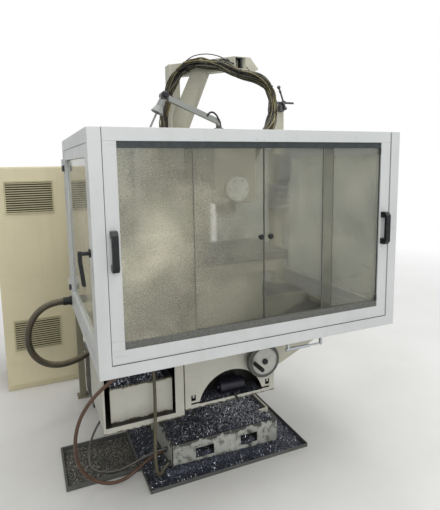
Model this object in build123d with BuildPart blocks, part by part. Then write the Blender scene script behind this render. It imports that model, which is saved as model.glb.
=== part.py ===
from build123d import *
import math
import os

os.makedirs("parts", exist_ok=True)

# Millimetres, Z up, floor at Z 0. The viewer stands on the -Y side.

# Safety enclosure, outside sizes and position
enc_w = 1500.0
enc_d = 1100.0
enc_h = 984.0
enc_x0 = -705.0
enc_back = -32.0
enc_z0 = 750.0
profile = 50.0
side_rail_h = 56.0
sheet = 3.0
gap = 0.3

enc_x1 = enc_x0 + enc_w
enc_y1 = enc_back
enc_y0 = enc_y1 - enc_d
enc_z1 = enc_z0 + enc_h
in_x0 = enc_x0 + profile
in_x1 = enc_x1 - profile
in_y0 = enc_y0 + profile
in_y1 = enc_y1 - profile
rail_top = enc_z0 + profile

# Tall pillar beside the rear right corner, and the two units on it
pillar_w = 74.0
pillar_d = 90.0
pillar_top = 1976.0
upper_unit_w = 91.0
upper_unit_d = 90.0
upper_unit_z0 = 1470.0
upper_unit_h = 185.0
lower_unit_w = 120.0
lower_unit_d = 80.0
lower_unit_z0 = 1262.0
lower_unit_h = 194.0

# Opening for the column in the enclosure's back
back_gap = 262.0
back_stile = 30.0

# Front lifting door
door_t = 36.0
door_y0 = enc_y0 + 4.0
door_gap = 3.0
stile_l = 53.0
stile_r = 57.0
door_rail_top = 52.0
door_rail_bottom = 57.0
track_top = 26.0
track_bottom = 30.0
pane_t = 5.0
pane_play = 0.3
outer_pane_w = 307.0
pane_lap = 30.0
knob_r = 12.0
handle_l = 160.0
handle_z0 = 1183.0
handle_out = 42.0
handle_w = 26.0

# Side door in the left wall
leaf_t = 30.0
leaf_front_stile = 60.0
leaf_back_stile = 48.0
leaf_top_rail = 52.0
leaf_bottom_rail = 56.0
hinge_r = 7.0
hinge_h = 35.0
hinge_bottoms = (858.0, 1560.0)
lever_z = 1248.0
lever_drop = 134.0

# Base, floor pan and column
base_w = 632.0
base_y0 = -770.0
base_y1 = 430.0
base_h = 145.0
pan_t = 2.0
pocket_z0 = 43.0
pocket_h = 56.0
pocket_w = 104.0
pocket_l = -184.0
pocket_r = 79.0
col_w = 430.0
col_y0 = -60.0
col_y1 = 430.0
col_top = 1800.0
way_t = 35.0
way_w = 60.0
screw_r = 20.0

# Ram, head and spindle
ram_w = 260.0
ram_z0 = 1560.0
ram_h = 200.0
ram_y0 = -600.0
ram_y1 = 400.0
flange_t = 50.0
bracket_w = 115.0
bracket_h = 55.0
bracket_z0 = 1445.0
swivel_z = 1605.0
swivel_r = 125.0
head_w = 220.0
head_y0 = -905.0
head_z0 = 1400.0
head_z1 = 1740.0
spindle_y = -785.0
spindle_r = 30.0
nose_z = 1330.0

# Knee and table
knee_w = 480.0
knee_y0 = -700.0
knee_z0 = 400.0
neck_w = 400.0
neck_y0 = -800.0
neck_y1 = -140.0
saddle_z0 = 1040.0
saddle_z1 = 1105.0
table_x0 = -400.0
table_l = 700.0
table_y0 = -900.0
table_d = 400.0
table_h = 45.0
slot_w = 14.0
slot_pitch = 70.0

# Front panel of the knee with its arched opening
panel_y0 = -832.0
panel_x0 = -256.0
panel_x1 = 254.0
panel_z0 = 363.0
panel_t = 6.0
arch_z = 381.0
arch_r = 185.7
arch_drop = 36.7
motor_r = 36.0
motor_x0 = -46.0
motor_x1 = 95.0
motor_y = -765.0
motor_z = 411.0

# Chip bin and its housing
house_x0 = -660.0
house_x1 = -262.0
house_y1 = -424.0
house_z0 = 335.0
shelf_z = 360.0
bin_h = 178.0

# Handwheel on the panel
wheel_x = 159.0
wheel_z = 571.0
wheel_r = 90.0
disc_r = 71.0
wheel_y0 = -898.0
wheel_y1 = -868.0
grip_r = 11.0
grip_l = 88.0

# Welded cable boom on the column's top
boom_top = 2232.0
boom_h = 76.0
boom_w = 60.0
boom_x = 20.0
boom_y = 90.0
boom_start = 24.0
boom_end_x = 329.0
boom_end_y = -300.0
boom_wall = 4.0
bundle_d = 58.0

# Cabinet behind the machine
cab_x0 = -1121.0
cab_w = 520.0
cab_y0 = 530.0
cab_d = 400.0
cab_h = 1590.0
cab_door_t = 18.0
cab_wall = 6.0


def block(x0, x1, y0, y1, z0, z1, mode=Mode.ADD):
    """A box between two limits on each axis."""
    with Locations(((x0 + x1) / 2, (y0 + y1) / 2, (z0 + z1) / 2)):
        Box(x1 - x0, y1 - y0, z1 - z0, mode=mode)


def rod_x(y, z, x0, x1, r, mode=Mode.ADD):
    """A cylinder along X."""
    with Locations(Location(((x0 + x1) / 2, y, z), (0, 90, 0))):
        Cylinder(r, x1 - x0, mode=mode)


def rod_y(x, z, y0, y1, r, mode=Mode.ADD):
    """A cylinder along Y."""
    with Locations(Location((x, (y0 + y1) / 2, z), (90, 0, 0))):
        Cylinder(r, y1 - y0, mode=mode)


def rod_z(x, y, z0, z1, r, mode=Mode.ADD):
    """A cylinder along Z."""
    with Locations((x, y, (z0 + z1) / 2)):
        Cylinder(r, z1 - z0, mode=mode)


def corner_radii(points):
    """One bend radius for each inner corner of a route."""
    corners = [Vector(p) for p in points]
    radii = []
    for before, here, after in zip(corners, corners[1:], corners[2:]):
        turn = (here - before).get_angle(after - here)
        run = min((here - before).length, (after - here).length)
        radii.append(min(0.45 * run / math.tan(math.radians(turn / 2)), 900.0))
    return radii


def hose(points, diameter):
    """A round tube's solid along a route of straight runs and tangent arcs."""
    radii = corner_radii(points)
    with BuildLine() as route:
        FilletPolyline(*points, radius=radii)
    path = route.wires()[0]
    with BuildSketch(Plane(origin=path @ 0, z_dir=path % 0)) as section:
        Circle(diameter / 2)
    sweep(sections=section.sketch, path=path)
    area = math.pi * diameter ** 2 / 4
    return min(radii), path.length, area


# Floor pan under the base, open at the top
pan_x0 = -460.0
pan_x1 = 445.0
pan_y0 = -880.0
pan_y1 = base_y1 + 10.0
pan_h = 20.0
with BuildPart() as drip_pan:
    block(pan_x0, pan_x1, pan_y0, pan_y1, 0, pan_h)
    block(pan_x0 + pan_t, pan_x1 - pan_t, pan_y0 + pan_t, pan_y1 - pan_t, pan_t, pan_h + 1, Mode.SUBTRACT)
drip_pan.part.label = "drip_pan"
export_step(drip_pan.part, "parts/drip_pan.step")

# Second tray on the floor, to the left, with a folded rim
tray_x0 = -835.0
tray_y0 = -690.0
tray_y1 = -334.0
with BuildPart() as floor_tray:
    block(tray_x0, pan_x0, tray_y0, tray_y1, 0, 22)
    block(tray_x0 + 10, pan_x0 - 8, tray_y0 + 10, tray_y1 - 10, 3, 23, Mode.SUBTRACT)
floor_tray.part.label = "floor_tray"
export_step(floor_tray.part, "parts/floor_tray.step")

# Cast base with two pockets for a lift truck's forks
with BuildPart() as base_casting:
    block(-base_w / 2, base_w / 2, base_y0, base_y1, pan_t, base_h)
    fillet(base_casting.edges().filter_by(Axis.Z), 14)
    fillet(base_casting.faces().sort_by(Axis.Z)[-1].edges(), 5)
    block(-base_w / 2 + 36, base_w / 2 - 36, base_y0 + 350, base_y1 - 30, pan_t - 1, base_h - 30, Mode.SUBTRACT)
    for left in (pocket_l, pocket_r):
        block(left, left + pocket_w, base_y0 - 1, base_y0 + 320, pocket_z0, pocket_z0 + pocket_h, Mode.SUBTRACT)
base_casting.part.label = "base_casting"
export_step(base_casting.part, "parts/base_casting.step")

# White angle strip along the base's right side, with a gusset at its front end
strip_x1 = base_w / 2 - 20
strip_y0 = base_y0 + 80
strip_h = 33.0
with BuildPart() as guard_strip:
    block(strip_x1 - 3, strip_x1, strip_y0, strip_y0 + 260, base_h, base_h + strip_h)
    block(strip_x1 - 12, strip_x1, strip_y0, strip_y0 + 260, base_h + strip_h - 3, base_h + strip_h)
    with BuildSketch(Plane.XZ.offset(-strip_y0)):
        with BuildLine():
            Polyline((strip_x1 - 24, base_h), (strip_x1 - 2, base_h), (strip_x1 - 2, base_h + strip_h),
                     (strip_x1 - 62, base_h + strip_h - 4), close=True)
        make_face()
    extrude(amount=-4)
guard_strip.part.label = "guard_strip"
export_step(guard_strip.part, "parts/guard_strip.step")

# Column with two flat ways for the knee and a tunnel for the ram
ram_z1 = ram_z0 + ram_h
way_y0 = col_y0 - way_t
way_x1 = neck_w / 2
with BuildPart() as column:
    block(-col_w / 2, col_w / 2, col_y0, col_y1, base_h, col_top)
    fillet(column.edges().filter_by(Axis.Z), 10)
    block(-ram_w / 2 - gap, ram_w / 2 + gap, col_y0 - 1, col_y1 + 1, ram_z0 - gap, ram_z1 + gap, Mode.SUBTRACT)
    block(-col_w / 2 + 30, col_w / 2 - 30, col_y0 + 30, col_y1 - 30, base_h - 1, ram_z0 - 40, Mode.SUBTRACT)
    for side in (-1, 1):
        centre = side * (way_x1 - way_w / 2)
        block(centre - way_w / 2, centre + way_w / 2, way_y0, col_y0 + 12, base_h + 40, ram_z0 - 60)
column.part.label = "column"
export_step(column.part, "parts/column.step")

# Lifting screw that stands on the base and enters the knee
screw_y = -400.0
screw_top = 650.0
with BuildPart() as lift_screw:
    rod_z(0, screw_y, base_h, screw_top, screw_r)
    rod_z(0, screw_y, base_h, base_h + 22, screw_r * 2)
lift_screw.part.label = "lift_screw"
export_step(lift_screw.part, "parts/lift_screw.step")

# Coolant tank beside the column, with an overhanging lid
tank_x0 = -600.0
tank_y0 = 60.0
tank_d = 360.0
tank_h = 318.0
tank_wall = 3.0
tank_overhang = 4.0
tank_lid = 8.0
tank_y1 = tank_y0 + tank_d
with BuildPart() as coolant_tank:
    block(tank_x0, pan_x0, tank_y0, tank_y1, 0, tank_h)
    block(tank_x0 + tank_wall, pan_x0 - tank_wall, tank_y0 + tank_wall, tank_y1 - tank_wall,
          tank_wall, tank_h + 1, Mode.SUBTRACT)
    block(tank_x0 - tank_overhang, pan_x0, tank_y0 - tank_overhang, tank_y1 + tank_overhang,
          tank_h + gap, tank_h + tank_lid)
coolant_tank.part.label = "coolant_tank"
export_step(coolant_tank.part, "parts/coolant_tank.step")

# Square rear post with its foot and the arm to the column
post_w = 41.0
post_x0 = -663.0
post_y0 = 240.0
post_h = 760.0
post_foot = 8.0
with BuildPart() as rear_post:
    block(post_x0, post_x0 + post_w, post_y0, post_y0 + post_w, post_foot, post_h)
    block(post_x0 - 17, post_x0 + post_w + 15, post_y0 - 20, post_y0 + post_w + 20, 0, post_foot)
    block(post_x0 + post_w, -col_w / 2, post_y0, post_y0 + post_w, post_h - post_w, post_h)
rear_post.part.label = "rear_post"
export_step(rear_post.part, "parts/rear_post.step")

# Welded boom: pillar, mitred hollow beam, brace and sloping end plate
boom_len = math.hypot(boom_end_x, boom_end_y - boom_y)
boom_dir = Vector(boom_end_x / boom_len, (boom_end_y - boom_y) / boom_len, 0)
boom_side = Vector(boom_dir.Y, -boom_dir.X, 0)
beam_z0 = boom_top - boom_h
boom_plane = Plane(origin=(0, boom_y, 0), x_dir=boom_dir, z_dir=boom_side)
cut_y = boom_end_y
with BuildPart() as boom_frame:
    block(boom_x - 35, boom_x + 35, boom_y - 45, boom_y + 45, col_top, boom_top)
    block(boom_x - 60, boom_x + 60, boom_y - 70, boom_y + 70, col_top, col_top + 12)
    with BuildSketch(boom_plane.offset(-boom_w / 2)):
        with BuildLine():
            Polyline((boom_start, beam_z0), (boom_len + 80, beam_z0), (boom_len + 80, boom_top),
                     (boom_start, boom_top), close=True)
        make_face()
    extrude(amount=boom_w)
    with BuildSketch(boom_plane.offset(-boom_w / 2)):
        with BuildLine():
            Polyline((175, beam_z0 + 1), (280, beam_z0 + 1), (112, col_top + 1), (boom_start, col_top + 1),
                     (boom_start, col_top + 85), close=True)
        make_face()
    extrude(amount=boom_w)
    with BuildSketch(boom_plane.offset(-boom_w / 2 + boom_wall)):
        with BuildLine():
            Polyline((boom_len - 330, beam_z0 + boom_wall), (boom_len + 90, beam_z0 + boom_wall),
                     (boom_len + 90, boom_top - boom_wall), (boom_len - 330, boom_top - boom_wall), close=True)
        make_face()
    extrude(amount=boom_w - 2 * boom_wall, mode=Mode.SUBTRACT)
    block(0, 800, cut_y - 200, cut_y, beam_z0 - 20, boom_top + 20, Mode.SUBTRACT)
    block(boom_end_x - 33, boom_end_x + 37, cut_y - 30, cut_y + 30, beam_z0 - 5, beam_z0 + 1)
    block(boom_end_x - 18, boom_end_x + 22, cut_y - 22, cut_y - 10, beam_z0 - 6, beam_z0 + 2, Mode.SUBTRACT)
    with BuildSketch(Plane.XZ.offset(-cut_y)):
        with BuildLine():
            Polyline((boom_end_x + 33, boom_top), (boom_end_x + 66, boom_top), (boom_end_x + 123, boom_top - 67),
                     (boom_end_x + 105, boom_top - 77), (boom_end_x + 72, boom_top - 84),
                     (boom_end_x + 33, boom_top - 46), close=True)
        make_face()
    extrude(amount=-50)
boom_frame.part.label = "boom_frame"
export_step(boom_frame.part, "parts/boom_frame.step")

# Cable bundle: the tied part along the boom, then the free loop to the head
riser_points = [(-74, 8, col_top), (-74, 8, 1885), (-58, 10, 1978), (-25, 2, 2084), (18, -40, 2172),
                (96, -126, 2222), (170, -218, 2192)]
with BuildPart() as cable_riser:
    riser_bend, riser_length, riser_area = hose(riser_points, bundle_d)
cable_riser.part.label = "cable_riser"
export_step(cable_riser.part, "parts/cable_riser.step")

loop_points = [(170.2, -218.3, 2191.9), (234, -297.6, 2166), (294, -362, 2114), (376, -386, 2104),
               (454, -392, 2072), (488, -410, 1996), (474, -446, 1906), (424, -498, 1818),
               (348, -556, 1742), (270, -602, 1680), (218, -625, 1602), (218, -625, 1500.3)]
with BuildPart() as cable_loop:
    loop_bend, loop_length, loop_area = hose(loop_points, bundle_d)
cable_loop.part.label = "cable_loop"
export_step(cable_loop.part, "parts/cable_loop.step")

# Ties around the bundle, one at the pillar's top and one on the beam
with BuildPart() as cable_ties:
    for first, second in ((2, 3), (4, 5)):
        start = Vector(riser_points[first])
        end = Vector(riser_points[second])
        band = Plane(origin=(start + end) * 0.5, z_dir=(end - start).normalized())
        with BuildSketch(band.offset(-5)):
            Circle(bundle_d / 2 + 4)
            Circle(bundle_d / 2, mode=Mode.SUBTRACT)
        extrude(amount=10)
cable_ties.part.label = "cable_ties"
export_step(cable_ties.part, "parts/cable_ties.step")

# Thick conduit: loop from the enclosure's rear left corner down to the column
conduit_d = 40.0
conduit_points = [(-755.3, -57, 784), (-808, -57, 784), (-878, -55, 757), (-933, -50, 700), (-963, -43, 618),
                  (-963, -34, 530), (-934, -20, 450), (-875, -4, 388), (-790, 16, 355), (-690, 46, 357),
                  (-585, 80, 388), (-470, 110, 425), (-345, 130, 450), (-215.3, 130, 450)]
with BuildPart() as conduit:
    conduit_bend, conduit_length, conduit_area = hose(conduit_points, conduit_d)
conduit.part.label = "conduit"
export_step(conduit.part, "parts/conduit.step")

# Three hoses that hang from the enclosure's floor and end at the base
coolant_d = 17.0
coolant_points = [(-560, -900, 749.7), (-560, -900, 714), (-578, -900, 672), (-618, -898, 632),
                  (-690, -893, 582), (-752, -880, 505), (-786, -855, 405), (-793, -820, 290),
                  (-776, -778, 170), (-725, -748, 75), (-640, -745, 18), (-550, -735, 13), (-470, -706, 36),
                  (-392, -676, 62), (-318.3, -660, 62)]
with BuildPart() as coolant_hose:
    coolant_bend, coolant_length, coolant_area = hose(coolant_points, coolant_d)
coolant_hose.part.label = "coolant_hose"
export_step(coolant_hose.part, "parts/coolant_hose.step")

drain_d = 12.0
drain_points = [(-600, -540, 359.7), (-600, -540, 326), (-611, -538, 288), (-636, -533, 244), (-668, -528, 190),
                (-693, -527, 128), (-705, -535, 72), (-706, -560, 30), (-692, -594, 12), (-650, -632, 11),
                (-594, -658, 14), (-530, -670, 32), (-462, -682, 62), (-392, -690, 88), (-317, -694, 92)]
with BuildPart() as drain_hose:
    drain_bend, drain_length, drain_area = hose(drain_points, drain_d)
drain_hose.part.label = "drain_hose"
export_step(drain_hose.part, "parts/drain_hose.step")

air_d = 16.0
air_points = [(-420, -860, 749.7), (-420, -860, 610), (-418, -862, 460), (-423, -860, 310), (-425, -858, 200),
              (-423, -852, 118), (-408, -834, 56), (-384, -797, 27), (-356, -762, 41), (-319.3, -744, 44)]
with BuildPart() as air_hose:
    air_bend, air_length, air_area = hose(air_points, air_d)
air_hose.part.label = "air_hose"
export_step(air_hose.part, "parts/air_hose.step")

for name, bend, length, area, solid in (
    ("cable_riser", riser_bend, riser_length, riser_area, cable_riser),
    ("cable_loop", loop_bend, loop_length, loop_area, cable_loop),
    ("conduit", conduit_bend, conduit_length, conduit_area, conduit),
    ("coolant_hose", coolant_bend, coolant_length, coolant_area, coolant_hose),
    ("drain_hose", drain_bend, drain_length, drain_area, drain_hose),
    ("air_hose", air_bend, air_length, air_area, air_hose),
):
    share = solid.part.volume / (area * length)
    print(f"{name}: least bend {bend:.0f} mm, length {length:.0f} mm, volume share {share:.3f}")

# Cabinet shell, open at the front
cab_x1 = cab_x0 + cab_w
cab_y1 = cab_y0 + cab_d
cab_front = cab_y0 + cab_door_t + gap
with BuildPart() as cabinet_body:
    block(cab_x0, cab_x1, cab_front, cab_y1, 0, cab_h)
    block(cab_x0 + cab_wall, cab_x1 - cab_wall, cab_front - 1, cab_y1 - cab_wall,
          60, cab_h - cab_wall, Mode.SUBTRACT)
cabinet_body.part.label = "cabinet_body"
export_step(cabinet_body.part, "parts/cabinet_body.step")

# Cabinet door, hinged at its left edge
with BuildPart() as cabinet_door:
    block(cab_x0 + 2, cab_x1 - 2, cab_y0, cab_y0 + cab_door_t, 42, cab_h - 6)
    fillet(cabinet_door.faces().sort_by(Axis.Y)[0].edges(), 3)
    block(cab_x0 + 6, cab_x1 - 6, cab_y0 + 4, cab_y0 + cab_door_t + 1, 46, cab_h - 10, Mode.SUBTRACT)
cabinet_door.part.label = "cabinet_door"
export_step(cabinet_door.part, "parts/cabinet_door.step")

# Two louvred grilles on the cabinet door
grille_w = 315.0
upper_grille_z = 1271.0
upper_grille_h = 223.0
lower_grille_z = 293.0
lower_grille_h = 225.0
with BuildPart() as cabinet_louvres:
    for x0, z0, width, height in (
        (cab_x0 + 68, upper_grille_z, grille_w, upper_grille_h),
        (cab_x0 + 64, lower_grille_z, grille_w, lower_grille_h),
    ):
        block(x0, x0 + width, cab_y0 - 7, cab_y0, z0, z0 + height)
        block(x0 + 9, x0 + width - 9, cab_y0 - 8, cab_y0 - 1, z0 + 9, z0 + height - 9, Mode.SUBTRACT)
        slats = 13
        pitch = (height - 18) / slats
        for row in range(slats):
            low = z0 + 9 + pitch * (row + 0.35)
            block(x0 + 8, x0 + width - 8, cab_y0 - 6, cab_y0 - 1, low, low + pitch * 0.4)
cabinet_louvres.part.label = "cabinet_louvres"
export_step(cabinet_louvres.part, "parts/cabinet_louvres.step")

# Cable duct from the cabinet to the column's back
with BuildPart() as cable_duct:
    block(cab_x1, 60, cab_y0 + 30, cab_y0 + 90, 200, 260)
    block(0, 60, col_y1, cab_y0 + 40, 200, 260)
cable_duct.part.label = "cable_duct"
export_step(cable_duct.part, "parts/cable_duct.step")

# Knee with side lips round the ways, a neck through the enclosure's floor and a saddle
knee_y1 = way_y0 - gap
with BuildPart() as knee_casting:
    block(-knee_w / 2, knee_w / 2, knee_y0, knee_y1, knee_z0, enc_z0)
    for side in (-1, 1):
        inner = side * (way_x1 + gap)
        outer = side * knee_w / 2
        block(min(inner, outer), max(inner, outer), knee_y1 - 5, col_y0 - 2, knee_z0 + 20, enc_z0)
    fillet(knee_casting.edges().filter_by(Axis.Z).sort_by(Axis.Y)[:2], 12)
    block(-neck_w / 2, neck_w / 2, neck_y0, neck_y1, enc_z0, saddle_z0)
    block(-260, 260, table_y0 + 40, table_y0 + table_d - 40, saddle_z0, saddle_z1)
    block(-knee_w / 2 + 30, knee_w / 2 - 30, knee_y0 + 30, knee_y1 - 30,
          knee_z0 - 1, enc_z0 - 30, Mode.SUBTRACT)
    block(-neck_w / 2 + 30, neck_w / 2 - 30, knee_y0 + 30, -170, enc_z0 - 40, saddle_z0 - 30, Mode.SUBTRACT)
    rod_z(0, screw_y, knee_z0, saddle_z0 - 20, screw_r + 26)
    rod_z(0, screw_y, knee_z0 - 1, saddle_z0 - 210, screw_r + 2, Mode.SUBTRACT)
knee_casting.part.label = "knee_casting"
export_step(knee_casting.part, "parts/knee_casting.step")

# Cross table with T slots
table_z0 = saddle_z1 + gap
table_z1 = table_z0 + table_h
with BuildPart() as table:
    block(table_x0, table_x0 + table_l, table_y0, table_y0 + table_d, table_z0, table_z1)
    fillet(table.edges().filter_by(Axis.Z), 8)
    for step in (-2, -1, 0, 1, 2):
        mid = table_y0 + table_d / 2 + step * slot_pitch
        block(table_x0 - 1, table_x0 + table_l + 1, mid - slot_w / 2, mid + slot_w / 2,
              table_z1 - 14, table_z1 + 1, Mode.SUBTRACT)
        block(table_x0 - 1, table_x0 + table_l + 1, mid - slot_w * 0.85, mid + slot_w * 0.85,
              table_z1 - 23, table_z1 - 13, Mode.SUBTRACT)
table.part.label = "table"
export_step(table.part, "parts/table.step")

# Knee panel: plate with an arch, thin slots and corner notches, two side walls and a drip tray
arch_half = math.sqrt(arch_r ** 2 - arch_drop ** 2)
with BuildPart() as knee_panel:
    block(panel_x0, panel_x1, panel_y0, panel_y0 + panel_t, panel_z0, enc_z0)
    for x0 in (panel_x0, panel_x1 - 4):
        block(x0, x0 + 4, panel_y0 + panel_t - 1, knee_y0, panel_z0, enc_z0)
    block(panel_x0, panel_x1, panel_y0 + panel_t - 1, knee_y0, panel_z0, panel_z0 + sheet)
    block(panel_x0, panel_x1, knee_y0 - sheet, knee_y0, panel_z0, knee_z0 + 1)
    with BuildSketch(Plane.XZ.offset(-panel_y0 + 1)):
        with Locations((0, arch_z - arch_drop)):
            Circle(arch_r)
        with Locations((0, arch_z - arch_r)):
            Rectangle(arch_r * 3, arch_r * 2, mode=Mode.SUBTRACT)
        for side in (-1, 1):
            with Locations((side * (arch_half + 15), arch_z + 8)):
                Rectangle(56, 9)
            with Locations((side * (arch_half + 30), arch_z + 38)):
                Rectangle(25, 31)
            with Locations((side * (arch_half + 30), arch_z + 46)):
                Rectangle(8, 16, mode=Mode.SUBTRACT)
    extrude(amount=-panel_t - 2, mode=Mode.SUBTRACT)
knee_panel.part.label = "knee_panel"
export_step(knee_panel.part, "parts/knee_panel.step")

# Drive motor behind the arch, on a foot bolted to the knee
with BuildPart() as drive_motor:
    rod_x(motor_y, motor_z, motor_x0, motor_x1, motor_r)
    fillet(drive_motor.edges().filter_by(GeomType.CIRCLE), 5)
    rod_x(motor_y, motor_z, motor_x0 - 12, motor_x0 + 2, motor_r * 0.42)
    block(motor_x0 + 24, motor_x1 - 24, motor_y, knee_y0, knee_z0 + 2, motor_z + 28)
drive_motor.part.label = "drive_motor"
export_step(drive_motor.part, "parts/drive_motor.step")

# Housing of the chip bin: open front with a picture frame, open top
with BuildPart() as chip_housing:
    block(house_x0, house_x1, panel_y0, house_y1, house_z0, enc_z0)
    block(house_x0 + sheet, house_x1 - sheet, panel_y0 + sheet, house_y1 - sheet, shelf_z + sheet, enc_z0 + 1,
          Mode.SUBTRACT)
    block(house_x0 + sheet, house_x1 - sheet, panel_y0 + sheet, house_y1 - sheet, house_z0 - 1, shelf_z,
          Mode.SUBTRACT)
    block(house_x0 + 10, house_x1 - 45, panel_y0 - 1, panel_y0 + sheet + 1, shelf_z + sheet, enc_z0 - 10,
          Mode.SUBTRACT)
chip_housing.part.label = "chip_housing"
export_step(chip_housing.part, "parts/chip_housing.step")

# Chip bin, an open box that pulls out to the front
bin_x0 = house_x0 + 40
bin_x1 = house_x1 - 50
bin_y0 = panel_y0 + 36
bin_y1 = house_y1 - 20
bin_z0 = shelf_z + sheet + gap
with BuildPart() as chip_bin:
    block(bin_x0, bin_x1, bin_y0, bin_y1, bin_z0, bin_z0 + bin_h)
    block(bin_x0 + 2, bin_x1 - 2, bin_y0 + 2, bin_y1 - 2, bin_z0 + 2, bin_z0 + bin_h + 1, Mode.SUBTRACT)
    block(bin_x0, bin_x1, bin_y0 - 8, bin_y0 + 1, bin_z0 + bin_h - 3, bin_z0 + bin_h)
chip_bin.part.label = "chip_bin"
export_step(chip_bin.part, "parts/chip_bin.step")

# Hopper under the enclosure's right half, a sloping trough open at the top
hopper_low = 490.0
hopper_high = 705.0
with BuildPart() as right_hopper:
    with BuildSketch(Plane.XZ.offset(-panel_y0)):
        with BuildLine():
            Polyline((panel_x1, hopper_low), (in_x1 - 4, hopper_high), (in_x1 - 4, enc_z0), (panel_x1, enc_z0),
                     close=True)
        make_face()
    extrude(amount=-(house_y1 - panel_y0))
    with BuildSketch(Plane.XZ.offset(-panel_y0 - sheet)):
        with BuildLine():
            Polyline((panel_x1 + sheet, hopper_low + 5), (in_x1 - 4 - sheet, hopper_high + 2),
                     (in_x1 - 4 - sheet, enc_z0 + 1), (panel_x1 + sheet, enc_z0 + 1), close=True)
        make_face()
    extrude(amount=-(house_y1 - panel_y0 - 2 * sheet), mode=Mode.SUBTRACT)
right_hopper.part.label = "right_hopper"
export_step(right_hopper.part, "parts/right_hopper.step")

# Lower ring of aluminium profiles
pillar_x1 = in_x1 - gap
pillar_x0 = pillar_x1 - pillar_w
pillar_y0 = enc_y1 - pillar_d
with BuildPart() as lower_rails:
    block(enc_x0, enc_x1, enc_y0, in_y0, enc_z0, rail_top)
    block(enc_x0, in_x0, in_y0 + gap, in_y1 - gap, enc_z0, rail_top)
    block(in_x1, enc_x1, in_y0 + gap, in_y1 - gap, enc_z0, rail_top)
    block(enc_x0, -back_gap, in_y1, enc_y1, enc_z0, rail_top)
    block(back_gap, pillar_x0 - gap, in_y1, enc_y1, enc_z0, rail_top)
    block(in_x1, enc_x1, in_y1, enc_y1, enc_z0, rail_top)
lower_rails.part.label = "lower_rails"
export_step(lower_rails.part, "parts/lower_rails.step")

# Four corner posts
with BuildPart() as corner_posts:
    block(enc_x0, in_x0, enc_y0, in_y0, rail_top, enc_z1)
    block(in_x1, enc_x1, enc_y0, in_y0, rail_top, enc_z1)
    block(enc_x0, in_x0, in_y1, enc_y1, rail_top, enc_z1)
    block(in_x1, enc_x1, in_y1, enc_y1, rail_top, enc_z1)
    chamfer(corner_posts.faces().sort_by(Axis.Z)[-4:].edges(), 1.5)
corner_posts.part.label = "corner_posts"
export_step(corner_posts.part, "parts/corner_posts.step")

# Tall pillar beside the rear right corner
with BuildPart() as right_pillar:
    block(pillar_x0, pillar_x1, pillar_y0, enc_y1, enc_z0, pillar_top)
    fillet(right_pillar.edges().filter_by(Axis.Z), 6)
right_pillar.part.label = "right_pillar"
export_step(right_pillar.part, "parts/right_pillar.step")

# Jointed clamp with a cross bar on the pillar
bar_z = pillar_top + 18
with BuildPart() as pillar_clamp:
    block(pillar_x0 + 26, pillar_x0 + 58, pillar_y0 - 32, pillar_y0, bar_z - 56, bar_z + 6)
    rod_x(pillar_y0 - 28, bar_z, pillar_x0 - 4, pillar_x0 + 130, 7)
    with Locations(Location((pillar_x0 + 35, pillar_y0 - 39, bar_z + 30), (0, -21, 0))):
        Cylinder(6, 146)
    with Locations((pillar_x0 + 9, pillar_y0 - 39, bar_z + 98)):
        Sphere(12)
    with Locations((pillar_x0 + 20, pillar_y0 - 39, bar_z + 70)):
        Sphere(9)
    with Locations((pillar_x0 + 61, pillar_y0 - 39, bar_z - 38)):
        Sphere(11)
    rod_y(pillar_x0 + 48, bar_z, pillar_y0 - 46, pillar_y0 - 24, 13)
pillar_clamp.part.label = "pillar_clamp"
export_step(pillar_clamp.part, "parts/pillar_clamp.step")

# Two units on the pillar, inside the enclosure
with BuildPart() as pillar_units:
    block(in_x1 - 4 - upper_unit_w, in_x1 - 4, pillar_y0 - upper_unit_d, pillar_y0, upper_unit_z0,
          upper_unit_z0 + upper_unit_h)
    block(in_x1 - 10 - lower_unit_w, in_x1 - 10, pillar_y0 - lower_unit_d, pillar_y0, lower_unit_z0,
          lower_unit_z0 + lower_unit_h)
    fillet(pillar_units.edges().filter_by(Axis.Y), 5)
    with Locations(Location((in_x1 - 10 - lower_unit_w / 2, pillar_y0 - lower_unit_d,
                             lower_unit_z0 + lower_unit_h / 2), (90, 0, 0))):
        with GridLocations(36, 42, 3, 4):
            Cylinder(11, 14)
pillar_units.part.label = "pillar_units"
export_step(pillar_units.part, "parts/pillar_units.step")

# Top rails of the two side walls
top_z0 = enc_z1 - side_rail_h
with BuildPart() as side_top_rails:
    block(enc_x0, in_x0, in_y0 + gap, in_y1 - gap, top_z0, enc_z1)
    block(in_x1, enc_x1, in_y0 + gap, in_y1 - gap, top_z0, enc_z1)
side_top_rails.part.label = "side_top_rails"
export_step(side_top_rails.part, "parts/side_top_rails.step")

# Fixed window frames: right wall, and both halves of the back
right_f0 = enc_x1 - 46
right_f1 = enc_x1 - 14
with BuildPart() as window_frames:
    block(right_f0, right_f1, in_y0, in_y0 + 50, rail_top, top_z0)
    block(right_f0, right_f1, in_y1 - 50, in_y1, rail_top, top_z0)
    block(right_f0, right_f1, in_y0 + 50 + gap, in_y1 - 50 - gap, rail_top, rail_top + 50)
    block(right_f0, right_f1, in_y0 + 50 + gap, in_y1 - 50 - gap, top_z0 - 50, top_z0)
    block(in_x0 + gap, -back_gap, in_y1, enc_y1, enc_z1 - profile, enc_z1)
    block(back_gap, pillar_x0 - gap, in_y1, enc_y1, enc_z1 - profile, enc_z1)
    block(-back_gap - back_stile, -back_gap, in_y1 + 8, enc_y1 - 8, rail_top, enc_z1 - profile - gap)
    block(back_gap, back_gap + back_stile, in_y1 + 8, enc_y1 - 8, rail_top, enc_z1 - profile - gap)
window_frames.part.label = "window_frames"
export_step(window_frames.part, "parts/window_frames.step")

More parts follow.
